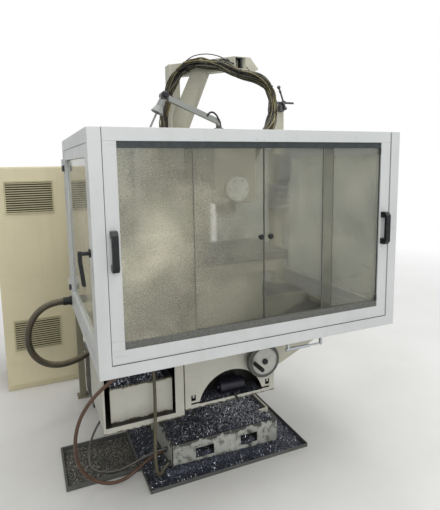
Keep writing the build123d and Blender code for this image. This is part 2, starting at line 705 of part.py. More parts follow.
with BuildPart() as fixed_panes:
    block(enc_x1 - 32, enc_x1 - 28, in_y0 + 50, in_y1 - 50, rail_top + 50, top_z0 - 50)
    block(in_x0, -back_gap - back_stile, enc_y1 - 27, enc_y1 - 23, rail_top, enc_z1 - profile)
    block(back_gap + back_stile, pillar_x0, enc_y1 - 27, enc_y1 - 23, rail_top, enc_z1 - profile)
fixed_panes.part.label = "fixed_panes"
export_step(fixed_panes.part, "parts/fixed_panes.step")

# Sheet floor of the enclosure, cut out for the neck, the bin and the hopper
with BuildPart() as floor_sheet:
    block(in_x0, in_x1, in_y0, in_y1, enc_z0, enc_z0 + sheet)
    block(-neck_w / 2, neck_w / 2, -800, knee_y1, enc_z0 - 1, enc_z0 + sheet + 1, Mode.SUBTRACT)
    block(-back_gap, back_gap, knee_y1 - 1, in_y1 + 1, enc_z0 - 1, enc_z0 + sheet + 1, Mode.SUBTRACT)
    block(house_x0 + 10, house_x1 - 10, panel_y0 + 10, house_y1 - 10,
          enc_z0 - 1, enc_z0 + sheet + 1, Mode.SUBTRACT)
    block(panel_x1 + 10, in_x1 - 40, panel_y0 + 10, house_y1 - 10,
          enc_z0 - 1, enc_z0 + sheet + 1, Mode.SUBTRACT)
    block(pillar_x0, in_x1 + 1, pillar_y0, in_y1 + 1, enc_z0 - 1, enc_z0 + sheet + 1, Mode.SUBTRACT)
floor_sheet.part.label = "floor_sheet"
export_step(floor_sheet.part, "parts/floor_sheet.step")

# Telescopic stay under the front rail
stay_y = enc_y0 + 25
stay_z = enc_z0 - 38
with BuildPart() as rail_stay:
    rod_x(stay_y, stay_z, 160, 290, 8)
    rod_x(stay_y, stay_z, 285, 366, 4.5)
    for x0 in (166, 352):
        block(x0, x0 + 10, stay_y - 7, stay_y + 7, stay_z - 6, enc_z0)
rail_stay.part.label = "rail_stay"
export_step(rail_stay.part, "parts/rail_stay.step")

# Black coupling where the conduit leaves the enclosure
coupling_y = enc_y1 - 25
coupling_z = enc_z0 + 34
with BuildPart() as conduit_coupling:
    rod_x(coupling_y, coupling_z, enc_x0 - 50, enc_x0 + 5, conduit_d / 2 + 4)
    rod_x(coupling_y, coupling_z, enc_x0 - 12, enc_x0 + 5, conduit_d / 2 + 8)
    block(enc_x0, enc_x0 + 10, coupling_y - 43, coupling_y + 57, enc_z0 - 50, enc_z0 + 100, Mode.SUBTRACT)
conduit_coupling.part.label = "conduit_coupling"
export_step(conduit_coupling.part, "parts/conduit_coupling.step")

# Front door: four profiles, dark tracks and two fixed panes
door_y1 = door_y0 + door_t
door_x0 = in_x0 + door_gap
door_x1 = in_x1 - door_gap
clear_x0 = door_x0 + stile_l
clear_x1 = door_x1 - stile_r
door_z0 = rail_top + gap
with BuildPart() as door_frame:
    block(door_x0, door_x1, door_y0, door_y1, enc_z1 - door_rail_top, enc_z1)
    block(door_x0, door_x1, door_y0, door_y1, door_z0, door_z0 + door_rail_bottom)
    for x0, x1 in ((door_x0, clear_x0), (clear_x1, door_x1)):
        block(x0, x1, door_y0, door_y1, door_z0 + door_rail_bottom + gap, enc_z1 - door_rail_top - gap)
    chamfer(door_frame.faces().sort_by(Axis.Y)[:4].edges(), 0.8)
door_frame.part.label = "door_frame"
export_step(door_frame.part, "parts/door_frame.step")

track_z0 = door_z0 + door_rail_bottom
track_z1 = enc_z1 - door_rail_top
glass_z0 = track_z0 + track_bottom - 10
glass_z1 = track_z1 - track_top + 10
front_glass = door_y0 + 10
back_glass = front_glass + 10
with BuildPart() as door_tracks:
    for low, high in ((track_z0, track_z0 + track_bottom), (track_z1 - track_top, track_z1)):
        block(clear_x0 + gap, clear_x1 - gap, door_y0 + 6, door_y1 - 6, low, high)
    for near in (front_glass, back_glass):
        block(clear_x0 - 1, clear_x1 + 1, near - pane_play, near + pane_t + pane_play, glass_z0 - pane_play,
              glass_z1 + pane_play, Mode.SUBTRACT)
door_tracks.part.label = "door_tracks"
export_step(door_tracks.part, "parts/door_tracks.step")

outer_x1 = clear_x0 + outer_pane_w
right_outer_x0 = clear_x1 - outer_pane_w - 24
with BuildPart() as outer_panes:
    block(clear_x0 + gap, outer_x1, front_glass, front_glass + pane_t, glass_z0, glass_z1)
    block(right_outer_x0, clear_x1 - gap, front_glass, front_glass + pane_t, glass_z0, glass_z1)
outer_panes.part.label = "outer_panes"
export_step(outer_panes.part, "parts/outer_panes.step")

centre_x = (clear_x0 + clear_x1) / 2 + 0.8
with BuildPart() as left_pane:
    block(outer_x1 - pane_lap, centre_x - 0.5, back_glass, back_glass + pane_t, glass_z0, glass_z1)
left_pane.part.label = "left_pane"
export_step(left_pane.part, "parts/left_pane.step")

with BuildPart() as right_pane:
    block(centre_x + 0.5, right_outer_x0 + pane_lap * 2, back_glass, back_glass + pane_t, glass_z0, glass_z1)
right_pane.part.label = "right_pane"
export_step(right_pane.part, "parts/right_pane.step")

knob_z = enc_z0 + 518
for knob_label, knob_x in (("left_knob", centre_x - 24.5), ("right_knob", centre_x + 23.5)):
    with BuildPart() as knob:
        rod_y(knob_x, knob_z, back_glass - 14, back_glass, knob_r * 0.5)
        rod_y(knob_x, knob_z, back_glass - 26, back_glass - 14, knob_r)
        fillet(knob.faces().sort_by(Axis.Y)[0].edges(), 4)
    knob.part.label = knob_label
    export_step(knob.part, f"parts/{knob_label}.step")

# Two bridge handles on the door's stiles
handle_z1 = handle_z0 + handle_l
with BuildPart() as door_handles:
    for handle_x in (clear_x0 - 27, clear_x1 + 21):
        with BuildSketch(Plane.YZ.offset(handle_x - handle_w / 2)):
            with BuildLine():
                Polyline((door_y0, handle_z0), (door_y0, handle_z1), (door_y0 - handle_out + 12, handle_z1),
                         (door_y0 - handle_out, handle_z1 - 15), (door_y0 - handle_out, handle_z0 + 15),
                         (door_y0 - handle_out + 12, handle_z0), close=True)
            make_face()
            with Locations((door_y0 - (handle_out - 14) / 2, (handle_z0 + handle_z1) / 2)):
                Rectangle(handle_out - 14, handle_l - 56, mode=Mode.SUBTRACT)
        extrude(amount=handle_w)
door_handles.part.label = "door_handles"
export_step(door_handles.part, "parts/door_handles.step")

# Side door: four profiles with the hinges' upper knuckles, and a pane
leaf_x0 = enc_x0 + 2
leaf_x1 = leaf_x0 + leaf_t
leaf_y0 = in_y0 + 2
leaf_y1 = in_y1 - 4
leaf_z0 = rail_top + 2
leaf_z1 = top_z0 - 2
hinge_y = in_y1 - 2
with BuildPart() as side_leaf_frame:
    block(leaf_x0, leaf_x1, leaf_y0, leaf_y0 + leaf_front_stile, leaf_z0, leaf_z1)
    block(leaf_x0, leaf_x1, leaf_y1 - leaf_back_stile, leaf_y1, leaf_z0, leaf_z1)
    block(leaf_x0, leaf_x1, leaf_y0 + leaf_front_stile + gap, leaf_y1 - leaf_back_stile - gap,
          leaf_z1 - leaf_top_rail, leaf_z1)
    block(leaf_x0, leaf_x1, leaf_y0 + leaf_front_stile + gap, leaf_y1 - leaf_back_stile - gap,
          leaf_z0, leaf_z0 + leaf_bottom_rail)
    for low in hinge_bottoms:
        rod_z(enc_x0 - hinge_r, hinge_y, low + hinge_h + gap, low + 2 * hinge_h, hinge_r)
        block(enc_x0 - 4, leaf_x0, hinge_y - 30, hinge_y - 2, low + hinge_h + gap, low + 2 * hinge_h)
side_leaf_frame.part.label = "side_leaf_frame"
export_step(side_leaf_frame.part, "parts/side_leaf_frame.step")

with BuildPart() as side_pane:
    block(leaf_x0 + 13, leaf_x0 + 17, leaf_y0 + leaf_front_stile, leaf_y1 - leaf_back_stile,
          leaf_z0 + leaf_bottom_rail, leaf_z1 - leaf_top_rail)
side_pane.part.label = "side_pane"
export_step(side_pane.part, "parts/side_pane.step")

# The post's halves of the side door's hinges: knuckle and plate, upper and lower
with BuildPart() as side_hinges:
    for low in hinge_bottoms:
        rod_z(enc_x0 - hinge_r, hinge_y, low, low + hinge_h, hinge_r)
        block(enc_x0 - 4, enc_x0, hinge_y + 2, hinge_y + 30, low, low + hinge_h)
side_hinges.part.label = "side_hinges"
export_step(side_hinges.part, "parts/side_hinges.step")

# Lever of the side door: rose, spindle and hanging grip
lever_y = leaf_y0 + 35
with BuildPart() as side_lever:
    rod_x(lever_y, lever_z, leaf_x0 - 8, leaf_x0 - gap, 17)
    rod_x(lever_y, lever_z, leaf_x0 - 44, leaf_x0 - 6, 8)
    with BuildSketch(Plane.XZ.offset(-lever_y + 9)):
        with BuildLine():
            Polyline((leaf_x0 - 34, lever_z + 10), (leaf_x0 - 50, lever_z + 10), (leaf_x0 - 50, lever_z - 30),
                     (leaf_x0 - 40, lever_z - lever_drop + 8), (leaf_x0 - 28, lever_z - lever_drop),
                     (leaf_x0 - 24, lever_z - lever_drop + 8), (leaf_x0 - 34, lever_z - 30), close=True)
        make_face()
    extrude(amount=-18)
side_lever.part.label = "side_lever"
export_step(side_lever.part, "parts/side_lever.step")

# Handwheel: drum with its hub tube, white disc, dark cap, and the crank grip
with BuildPart() as wheel_drum:
    rod_y(wheel_x, wheel_z, wheel_y0, wheel_y1, wheel_r)
    fillet(wheel_drum.edges().filter_by(GeomType.CIRCLE), 4)
    rod_y(wheel_x, wheel_z, wheel_y1 - 1, panel_y0 - gap, 24)
wheel_drum.part.label = "wheel_drum"
export_step(wheel_drum.part, "parts/wheel_drum.step")

with BuildPart() as wheel_disc:
    rod_y(wheel_x, wheel_z, wheel_y0 - 4, wheel_y0, disc_r)
    fillet(wheel_disc.faces().sort_by(Axis.Y)[0].edges(), 2)
wheel_disc.part.label = "wheel_disc"
export_step(wheel_disc.part, "parts/wheel_disc.step")

with BuildPart() as wheel_cap:
    rod_y(wheel_x, wheel_z, wheel_y0 - 14, wheel_y0 - 4, 15)
    fillet(wheel_cap.faces().sort_by(Axis.Y)[0].edges(), 3)
wheel_cap.part.label = "wheel_cap"
export_step(wheel_cap.part, "parts/wheel_cap.step")

grip_x = wheel_x - disc_r + grip_r + 1
with BuildPart() as crank_grip:
    rod_y(grip_x, wheel_z, wheel_y0 - 4 - gap - grip_l, wheel_y0 - 4 - gap, grip_r)
    fillet(crank_grip.edges().filter_by(GeomType.CIRCLE), 3)
crank_grip.part.label = "crank_grip"
export_step(crank_grip.part, "parts/crank_grip.step")

# Ram with its front flange
flange_y0 = ram_y0 - flange_t
with BuildPart() as ram:
    block(-ram_w / 2, ram_w / 2, ram_y0 - 1, ram_y1, ram_z0, ram_z1)
    block(-ram_w / 2 - 10, ram_w / 2 + 10, flange_y0, ram_y0, bracket_z0 - 5, ram_z1 + 10)
    block(-ram_w / 2 + 30, ram_w / 2 - 30, ram_y0 + 40, ram_y1 + 1, ram_z0 + 30, ram_z1 - 30, Mode.SUBTRACT)
    fillet(ram.faces().sort_by(Axis.Y)[0].edges(), 8)
    block(ram_w / 2, ram_w / 2 + bracket_w, flange_y0 + 2, ram_y0, bracket_z0, bracket_z0 + bracket_h)
ram.part.label = "ram"
export_step(ram.part, "parts/ram.step")

# Swivelling vertical head with its round cover and quill
with BuildPart() as head_housing:
    block(-head_w / 2, head_w / 2, head_y0, flange_y0 - 22, head_z0, head_z1)
    fillet(head_housing.edges().filter_by(Axis.Y), 20)
    fillet(head_housing.faces().sort_by(Axis.Y)[0].edges(), 6)
    rod_y(0, swivel_z, flange_y0 - 24, flange_y0 - gap, swivel_r)
    rod_y(0, head_z0 + 72, head_y0 - 27, head_y0 + 1, 62)
    rod_z(0, spindle_y, nose_z + 15, head_z0 + 2, 52)
    rod_z(0, spindle_y, nose_z, head_z0 + 90, spindle_r + 0.05, Mode.SUBTRACT)
head_housing.part.label = "head_housing"
export_step(head_housing.part, "parts/head_housing.step")

# Spindle with a taper socket in its nose
with BuildPart() as spindle:
    rod_z(0, spindle_y, nose_z + 14, head_z0 + 88, spindle_r)
    rod_z(0, spindle_y, nose_z, nose_z + 15 - gap, 44)
    with Locations((0, spindle_y, nose_z + 30)):
        Cone(bottom_radius=22, top_radius=13, height=62, mode=Mode.SUBTRACT)
spindle.part.label = "spindle"
export_step(spindle.part, "parts/spindle.step")

# Work lamp on the ram: base, arm and head
lamp_x = 37.0
lamp_y = ram_y0 - 25.0
lamp_z = ram_z1 + 10.0
elbow_x = -262.0
elbow_z = 1930.0
with BuildPart() as lamp_base:
    rod_z(lamp_x, lamp_y, lamp_z, lamp_z + 8, 24)
    rod_z(lamp_x, lamp_y, lamp_z + 8, lamp_z + 22, 13)
lamp_base.part.label = "lamp_base"
export_step(lamp_base.part, "parts/lamp_base.step")

arm_z0 = lamp_z + 22 + gap
arm_dx = elbow_x - lamp_x
arm_dz = elbow_z - (arm_z0 + 18)
arm_l = math.hypot(arm_dx, arm_dz)
arm_tilt = math.degrees(math.atan2(arm_dz, -arm_dx))
with BuildPart() as lamp_arm:
    rod_z(lamp_x, lamp_y, arm_z0, arm_z0 + 22, 14)
    with Locations(Location(((lamp_x + elbow_x) / 2, lamp_y, arm_z0 + 18 + arm_dz / 2), (0, arm_tilt, 0))):
        Box(arm_l, 26, 26)
    rod_y(elbow_x, elbow_z, lamp_y - 13, lamp_y + 13, 17)
    rod_y(elbow_x, elbow_z, lamp_y - 38, lamp_y - 12, 6)
lamp_arm.part.label = "lamp_arm"
export_step(lamp_arm.part, "parts/lamp_arm.step")

lamp_angle = 26.6
lamp_dx = -math.sin(math.radians(lamp_angle))
lamp_dz = -math.cos(math.radians(lamp_angle))
head_mid_y = lamp_y - 33
with BuildPart() as lamp_head:
    rod_y(elbow_x, elbow_z, lamp_y - 45, lamp_y - 13 - gap, 19)
    for along, low_r, high_r, height in ((35, 17, 18, 60), (80, 18, 31, 32), (130, 5, 5, 90)):
        place = (elbow_x + lamp_dx * along, head_mid_y, elbow_z + lamp_dz * along)
        with Locations(Location(place, (0, 180 + lamp_angle, 0))):
            if low_r == high_r:
                Cylinder(low_r, height)
            else:
                Cone(bottom_radius=low_r, top_radius=high_r, height=height)
    rod_y(elbow_x, elbow_z, lamp_y - 60, lamp_y, 6.05, Mode.SUBTRACT)
lamp_head.part.label = "lamp_head"
export_step(lamp_head.part, "parts/lamp_head.step")
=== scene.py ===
import math

import bpy
import numpy as np
from mathutils import Matrix, Vector


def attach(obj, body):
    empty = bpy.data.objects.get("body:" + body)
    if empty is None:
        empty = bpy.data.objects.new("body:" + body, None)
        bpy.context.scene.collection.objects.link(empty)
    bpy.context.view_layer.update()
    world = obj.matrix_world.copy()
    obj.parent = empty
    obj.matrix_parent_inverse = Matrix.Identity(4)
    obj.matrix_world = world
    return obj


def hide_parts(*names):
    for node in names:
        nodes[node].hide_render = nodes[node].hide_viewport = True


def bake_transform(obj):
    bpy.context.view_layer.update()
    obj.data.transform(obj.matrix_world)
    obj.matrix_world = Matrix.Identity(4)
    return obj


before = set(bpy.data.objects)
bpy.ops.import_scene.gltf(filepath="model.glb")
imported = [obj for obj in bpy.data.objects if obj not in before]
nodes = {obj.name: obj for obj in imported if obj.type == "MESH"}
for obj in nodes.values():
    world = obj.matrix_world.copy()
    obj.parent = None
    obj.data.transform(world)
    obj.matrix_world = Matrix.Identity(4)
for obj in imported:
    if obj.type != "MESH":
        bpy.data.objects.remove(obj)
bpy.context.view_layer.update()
SEED = 11
dice = np.random.default_rng(SEED)

# The camera at the photograph's place: metres, radians, the photograph's pixels, and the sensor in mm.
CAM_PLACE = (-0.929, -2.86780, 1.58985)
CAM_YAW = 0.41129
CAM_PITCH = 0.13561
CAM_ROLL = -0.01472
FOCAL_PX = 453.16
CENTRE_PX = (222.08, 225.86)
IMAGE_PX = (440, 510)
SENSOR = 36.0
CLIP = (0.05, 200.0)


def add_camera():
    """The camera, with its shift for the photograph's off-centre principal point."""
    level = Vector((math.sin(CAM_YAW), math.cos(CAM_YAW), 0))
    right = Vector((math.cos(CAM_YAW), -math.sin(CAM_YAW), 0))
    ahead = level * math.cos(CAM_PITCH) - Vector((0, 0, math.sin(CAM_PITCH)))
    above = level * math.sin(CAM_PITCH) + Vector((0, 0, math.cos(CAM_PITCH)))
    side = right * math.cos(CAM_ROLL) + above * math.sin(CAM_ROLL)
    up = above * math.cos(CAM_ROLL) - right * math.sin(CAM_ROLL)
    data = bpy.data.cameras.new("camera")
    data.sensor_fit = "AUTO"
    data.sensor_width = SENSOR
    data.lens = FOCAL_PX * SENSOR / IMAGE_PX[1]
    data.shift_x = (IMAGE_PX[0] / 2 - CENTRE_PX[0]) / IMAGE_PX[1]
    data.shift_y = (CENTRE_PX[1] - IMAGE_PX[1] / 2) / IMAGE_PX[1]
    data.clip_start, data.clip_end = CLIP
    camera = bpy.data.objects.new("camera", data)
    bpy.context.scene.collection.objects.link(camera)
    turn = Matrix((side, up, -ahead)).transposed().to_4x4()
    camera.matrix_world = Matrix.Translation(CAM_PLACE) @ turn
    bpy.context.scene.camera = camera


add_camera()


# Places of the sockets on a node that mixes colours.
MIX_FACTOR = 0
MIX_FIRST = 6
MIX_SECOND = 7
MIX_RESULT = 2


class Finish:
    """A surface's node graph. Every pattern is laid in the row frame, in metres."""

    def __init__(self, name, **sockets):
        self.material = bpy.data.materials.new(name)
        self.material.use_nodes = True
        self.tree = self.material.node_tree
        self.shader = self.tree.nodes["Principled BSDF"]
        self.output = self.tree.nodes["Material Output"]
        for socket, value in sockets.items():
            self.shader.inputs[socket.replace("_", " ")].default_value = value
        self.coords = self.add("ShaderNodeTexCoord").outputs["Object"]
        self.relief = None

    def put(self, socket, value):
        """Link a socket to another one, or give it a value."""
        if isinstance(value, bpy.types.NodeSocket):
            self.tree.links.new(value, socket)
        else:
            socket.default_value = value

    def add(self, kind, values=None, **settings):
        """A new node, with its inputs' values or links."""
        node = self.tree.nodes.new(kind)
        for key, value in settings.items():
            setattr(node, key, value)
        for key, value in (values or {}).items():
            self.put(node.inputs[key], value)
        return node

    def span(self, value, low, high, to_low=0.0, to_high=1.0):
        """value from low..high brought to to_low..to_high and held there."""
        node = self.add("ShaderNodeMapRange", {"Value": value, "From Min": low, "From Max": high,
                                               "To Min": to_low, "To Max": to_high})
        return node.outputs["Result"]

    def noise(self, scale, low=0.35, high=0.65, detail=4.0, stretch=(1, 1, 1), warp=0.0):
        """Noise brought to 0 at low and 1 at high."""
        place = self.add("ShaderNodeMapping", {"Vector": self.coords, "Scale": stretch}).outputs[0]
        raw = self.add("ShaderNodeTexNoise", {"Vector": place, "Scale": scale, "Detail": detail,
                                              "Distortion": warp})
        return self.span(raw.outputs["Fac"], low, high)

    def specks(self, scale, size):
        """Separate round dots: 1 inside a dot, 0 outside."""
        cells = self.add("ShaderNodeTexVoronoi", {"Vector": self.coords, "Scale": scale})
        return self.span(cells.outputs["Distance"], size, size * 0.6)

    def math(self, operation, a, b=0.0):
        """The result of one operation on two values."""
        node = self.add("ShaderNodeMath", operation=operation)
        self.put(node.inputs[0], a)
        self.put(node.inputs[1], b)
        return node.outputs[0]

    def product(self, a, b):
        """Two values multiplied."""
        return self.math("MULTIPLY", a, b)

    def mix(self, factor, a, b):
        """Colour a turned into colour b, all the way where factor is 1."""
        node = self.add("ShaderNodeMix", data_type="RGBA")
        self.put(node.inputs[MIX_FACTOR], factor)
        for index, value in ((MIX_FIRST, a), (MIX_SECOND, b)):
            if not isinstance(value, bpy.types.NodeSocket):
                value = (*value, 1.0)
            self.put(node.inputs[index], value)
        return node.outputs[MIX_RESULT]

    def axis(self, letter, socket=None):
        """One coordinate of a vector, or of the place."""
        node = self.add("ShaderNodeSeparateXYZ", {"Vector": socket or self.coords})
        return node.outputs[letter]

    def facing_up(self, low=0.3, high=0.8):
        """1 on surfaces that face up, 0 on walls."""
        return self.span(self.axis("Z", self.add("ShaderNodeNewGeometry").outputs["Normal"]), low, high)

    def colour(self, socket):
        """Colour the surface."""
        self.put(self.shader.inputs["Base Color"], socket)

    def rough(self, socket):
        """Set how rough the surface is."""
        self.put(self.shader.inputs["Roughness"], socket)

    def bump(self, height, depth, strength):
        """Relief on top of the relief that is there already."""
        node = self.add("ShaderNodeBump", {"Height": height, "Distance": depth, "Strength": strength})
        if self.relief:
            self.tree.links.new(self.relief, node.inputs["Normal"])
        self.relief = node.outputs["Normal"]
        self.tree.links.new(self.relief, self.shader.inputs["Normal"])


def times(tone, share):
    """A colour made darker or lighter."""
    return tuple(c * share for c in tone)


def paint(name, base, rough=0.42, mottle=0.10, grime=0.25, grime_colour=(0.10, 0.085, 0.055), low_z=None,
          chips=0.0, under=(0.05, 0.05, 0.055), streaks=0.15, peel=0.00012, inside=None, dirty=()):
    """Painted metal: mottle, runs, grime, small chips, orange peel.

    low_z gives two heights: the grime is full below the first and thin above the second. inside is a box
    within which the paint is near black: painted shade in hollows and recesses, with greasy dirt. dirty lists
    the planes that dirt gathers at, each as (axis, value, reach), and a fourth value where the most dirt
    isn't 1."""
    f = Finish(name)
    shade = times(base, 1 - mottle)
    light = tuple(min(1.0, c * (1 + mottle * 0.6)) for c in base)
    tone = f.mix(f.noise(2.6, 0.3, 0.7, 3), shade, light)
    tone = f.mix(f.product(f.noise(140, 0.35, 0.8, 2), 0.10), tone, shade)
    runs = f.noise(14, 0.52, 0.8, 5, (1, 1, 0.06))
    tone = f.mix(f.product(runs, streaks), tone, grime_colour)
    smear = f.product(f.noise(7, 0.45, 0.9, 10, warp=0.6), grime)
    if low_z:
        near_floor = f.span(f.axis("Z"), low_z[0], low_z[1], 1.0, 0.12)
        smear = f.product(smear, near_floor)
    tone = f.mix(smear, tone, grime_colour)
    spots = f.product(f.specks(210, 0.2), f.noise(9, 0.5, 0.68, 5))
    tone = f.mix(f.product(spots, min(0.8, grime * 2)), tone, grime_colour)
    crumbs = f.product(f.specks(75, 0.07), f.noise(5, 0.42, 0.6, 4))
    tone = f.mix(f.product(crumbs, min(1.0, grime * 2.5)), tone, times(grime_colour, 0.4))
    scrapes = f.noise(60, 0.66, 0.74, 2, (0.15, 0.15, 1.4))
    tone = f.mix(f.product(scrapes, 0.12), tone, under)
    for letter, value, reach, *share in dirty:
        off = f.math("ABSOLUTE", f.math("SUBTRACT", f.axis(letter), value))
        most = share[0] if share else 1.0
        amount = f.product(f.span(off, 0.0, reach, most, 0.0), f.noise(26, 0.25, 0.6, 5))
        grains = f.add("ShaderNodeTexNoise", {"Vector": f.coords, "Scale": 330.0, "Detail": 4.0})
        caked = f.span(f.math("SUBTRACT", f.math("ADD", amount, grains.outputs["Fac"]), 0.86), 0.0, 0.10)
        tone = f.mix(caked, tone, grime_colour)
    wear = f.product(f.noise(130, 0.70 - 0.1 * chips, 0.73 - 0.1 * chips, 6, warp=0.3),
                     f.noise(8, 0.48, 0.6, 4))
    tone = f.mix(f.product(wear, 0.85), tone, under)
    # Inside the box the paint turns near black: painted shade in hollows and recesses, with greasy dirt.
    if inside:
        held = 1.0
        for letter, low, high in zip("XYZ", *inside):
            place = f.axis(letter)
            held = f.product(held, f.math("GREATER_THAN", place, low))
            held = f.product(held, f.math("LESS_THAN", place, high))
        grease_and_shade = f.mix(f.noise(30, 0.4, 0.7, 8), (0.008, 0.008, 0.008), (0.026, 0.024, 0.02))
        tone = f.mix(f.product(held, f.noise(11, 0.12, 0.3, 6)), tone, grease_and_shade)
    f.colour(tone)
    f.rough(f.span(f.noise(21, 0.2, 0.8, 6), 0, 1, rough - 0.08, rough + 0.16))
    f.bump(f.noise(420, 0.2, 0.8, 2), peel, 0.6)
    f.bump(f.math("SUBTRACT", 1.0, wear), 0.0002, 0.6)
    return f.material


def plastic(name, base, rough=0.38, dust=0.2, dust_colour=(0.30, 0.28, 0.23), grain=0.0001, rubbed=0.05,
            low_dust=None, shine=0.25):
    """Moulded plastic or rubber: dust on what faces up, and caked below a height if low_dust gives one."""
    f = Finish(name, Specular_IOR_Level=shine)
    tone = f.mix(f.noise(40, 0.3, 0.7, 3), base, tuple(c * 1.5 + 0.004 for c in base))
    lying = f.product(f.facing_up(), f.noise(55, 0.3, 0.75, 6))
    tone = f.mix(f.product(lying, dust), tone, dust_colour)
    tone = f.mix(f.product(f.noise(18, 0.55, 0.8, 6), rubbed), tone, dust_colour)
    if low_dust:
        caked = f.product(f.math("LESS_THAN", f.axis("Z"), low_dust), f.noise(130, 0.10, 0.75, 8))
        tone = f.mix(f.product(caked, 0.75), tone, dust_colour)
    f.colour(tone)
    f.rough(f.span(f.noise(33, 0.2, 0.8, 4), 0, 1, rough - 0.1, rough + 0.18))
    f.bump(f.noise(900, 0.2, 0.8, 2), grain, 0.5)
    return f.material


def metal(name, base, rough=0.32, stain=(0.12, 0.10, 0.07), stained=0.3, grain=(1, 1, 12),
          grain_depth=0.00003):
    """Bare or machined metal with stains, and a grain where the three grain values differ."""
    f = Finish(name, Metallic=0.85)
    tone = f.mix(f.noise(60, 0.3, 0.7, 5, grain), times(base, 0.75), base)
    tone = f.mix(f.product(f.noise(17, 0.45, 0.75, 8, warp=0.5), stained), tone, stain)
    f.colour(tone)
    f.rough(f.span(f.noise(120, 0.2, 0.8, 4, grain), 0, 1, rough - 0.1, rough + 0.2))
    f.bump(f.noise(300, 0.2, 0.8, 3, grain), grain_depth, 0.5)
    return f.material


def pane(name, haze=0.2, dirt_corner=None, tint=(0.66, 0.67, 0.635), dust=(0.60, 0.575, 0.475), blur=0.13):
    """Scratched plastic glazing under a dried mist: blurred view, fine pale sparkle, a few dark crumbs."""
    f = Finish(name, Transmission_Weight=1.0, IOR=1.22)
    cloud = f.noise(2.6, 0.32, 0.70, 7, warp=0.9)
    fine = f.noise(120, 0.3, 0.72, 6)
    grit = f.noise(340, 0.42, 0.66, 2)
    f.colour(f.mix(f.noise(4, 0.3, 0.7, 4), times(tint, 0.9), tint))
    f.rough(f.span(fine, 0, 1, blur - 0.03, blur + 0.06))
    near = 0.0
    if dirt_corner:
        far = f.add("ShaderNodeVectorMath", operation="DISTANCE")
        f.put(far.inputs[0], f.coords)
        far.inputs[1].default_value = dirt_corner
        near = f.span(far.outputs["Value"], 0.05, 0.68, 1.0, 0.0)
        near = f.product(near, f.span(f.noise(4.2, 0.34, 0.64, 2, warp=0.5), 0, 1, 0.72, 1.22))
    cover = f.math("ADD", f.product(cloud, haze), f.product(near, 3.2 * haze))
    cover = f.product(cover, f.span(fine, 0, 1, 0.75, 1.15))
    sparkle = f.product(grit, f.math("ADD", f.product(near, 1.6 * haze), 0.55 * haze))
    cover = f.math("ADD", cover, sparkle)
    crumbs = f.product(f.specks(120, 0.09), f.noise(6, 0.52, 0.66, 5))
    blots = f.product(f.specks(34, 0.055), f.noise(3.4, 0.5, 0.62, 3))
    drips = f.product(f.noise(60, 0.60, 0.8, 3, (1, 1, 0.03)), 0.4 * haze)
    streaks = f.product(f.noise(40, 0.62, 0.72, 2, (0.05, 0.05, 1)), 0.3 * haze)
    cover = f.math("ADD", cover, f.math("ADD", drips, streaks))
    film = f.mix(f.noise(3.1, 0.36, 0.62, 3), times(dust, 1.45), times(dust, 0.62))
    film = f.mix(f.product(grit, 0.5), film, tuple(min(1, c * 1.7) for c in dust))
    film = f.mix(crumbs, film, (0.05, 0.05, 0.045))
    film = f.mix(blots, film, (0.008, 0.008, 0.008))
    cover = f.math("MAXIMUM", cover, f.product(crumbs, 0.7))
    cover = f.span(f.math("MAXIMUM", cover, blots), 0.0, 1.0)
    coat = f.add("ShaderNodeBsdfPrincipled", {"Base Color": film})
    coat.inputs["Roughness"].default_value = 0.7
    through = f.add("ShaderNodeBsdfTranslucent", {"Color": film})
    lit = f.add("ShaderNodeMixShader", {0: 0.5, 1: coat.outputs[0], 2: through.outputs[0]})
    both = f.add("ShaderNodeMixShader", {0: cover, 1: f.shader.outputs[0], 2: lit.outputs[0]})
    clear = f.add("ShaderNodeBsdfTransparent", {"Color": (*tint, 1.0)})
    shadow = f.product(f.add("ShaderNodeLightPath").outputs["Is Shadow Ray"], 0.8)
    last = f.add("ShaderNodeMixShader", {0: shadow, 1: both.outputs[0], 2: clear.outputs[0]})
    f.put(f.output.inputs["Surface"], last.outputs[0])
    f.bump(fine, 0.00006, 0.35)
    return f.material


def swarf(name, dark=(0.012, 0.014, 0.022), bright=(0.42, 0.45, 0.52), share=0.62, metallic=0.6):
    """A bed of oily chips: near black, with glints."""
    f = Finish(name, Metallic=metallic)
    grain = f.noise(230, share - 0.1, share + 0.1, 6)
    flakes = f.specks(190, 0.20)
    tone = f.mix(f.noise(26, 0.35, 0.65, 5), dark, times(dark, 2.6))
    tone = f.mix(grain, tone, times(bright, 0.45))
    tone = f.mix(f.product(flakes, f.noise(60, 0.55, 0.6, 3)), tone, bright)
    f.colour(tone)
    f.rough(f.span(f.noise(300, 0.3, 0.7, 2), 0, 1, 0.22, 0.65))
    f.bump(f.noise(160, 0.2, 0.8, 8), 0.004, 0.9)
    return f.material


def turned(name, base, centre, pitch=0.0022):
    """A faced disc: fine rings round an axis along Y, and oil stains."""
    f = Finish(name, Metallic=0.25)
    away = f.add("ShaderNodeVectorMath", operation="SUBTRACT")
    f.put(away.inputs[0], f.coords)
    away.inputs[1].default_value = centre
    x = f.axis("X", away.outputs[0])
    z = f.axis("Z", away.outputs[0])
    radius = f.math("SQRT", f.math("ADD", f.product(x, x), f.product(z, z)))
    ring = f.math("SINE", f.product(radius, 2 * math.pi / pitch))
    fine = f.span(ring, -1, 1)
    tone = f.mix(f.product(fine, 0.35), base, times(base, 0.6))
    tone = f.mix(f.product(f.noise(26, 0.45, 0.8, 7), 0.4), tone, (0.10, 0.09, 0.06))
    outer = f.span(radius, 0.058, 0.071)
    tone = f.mix(f.product(outer, 0.25), tone, (0.06, 0.055, 0.05))
    f.colour(tone)
    f.rough(f.span(f.noise(50, 0.2, 0.8, 3), 0, 1, 0.3, 0.5))
    f.bump(fine, 0.00015, 0.6)
    return f.material


LIGHT = (0.575, 0.592, 0.592)
CREAM = (0.50, 0.485, 0.40)
# The panels' cream, turned darker: painted shade for the knee panel, bin and chip housing under the
# enclosure.
SHADED_PANEL = (0.475, 0.467, 0.410)
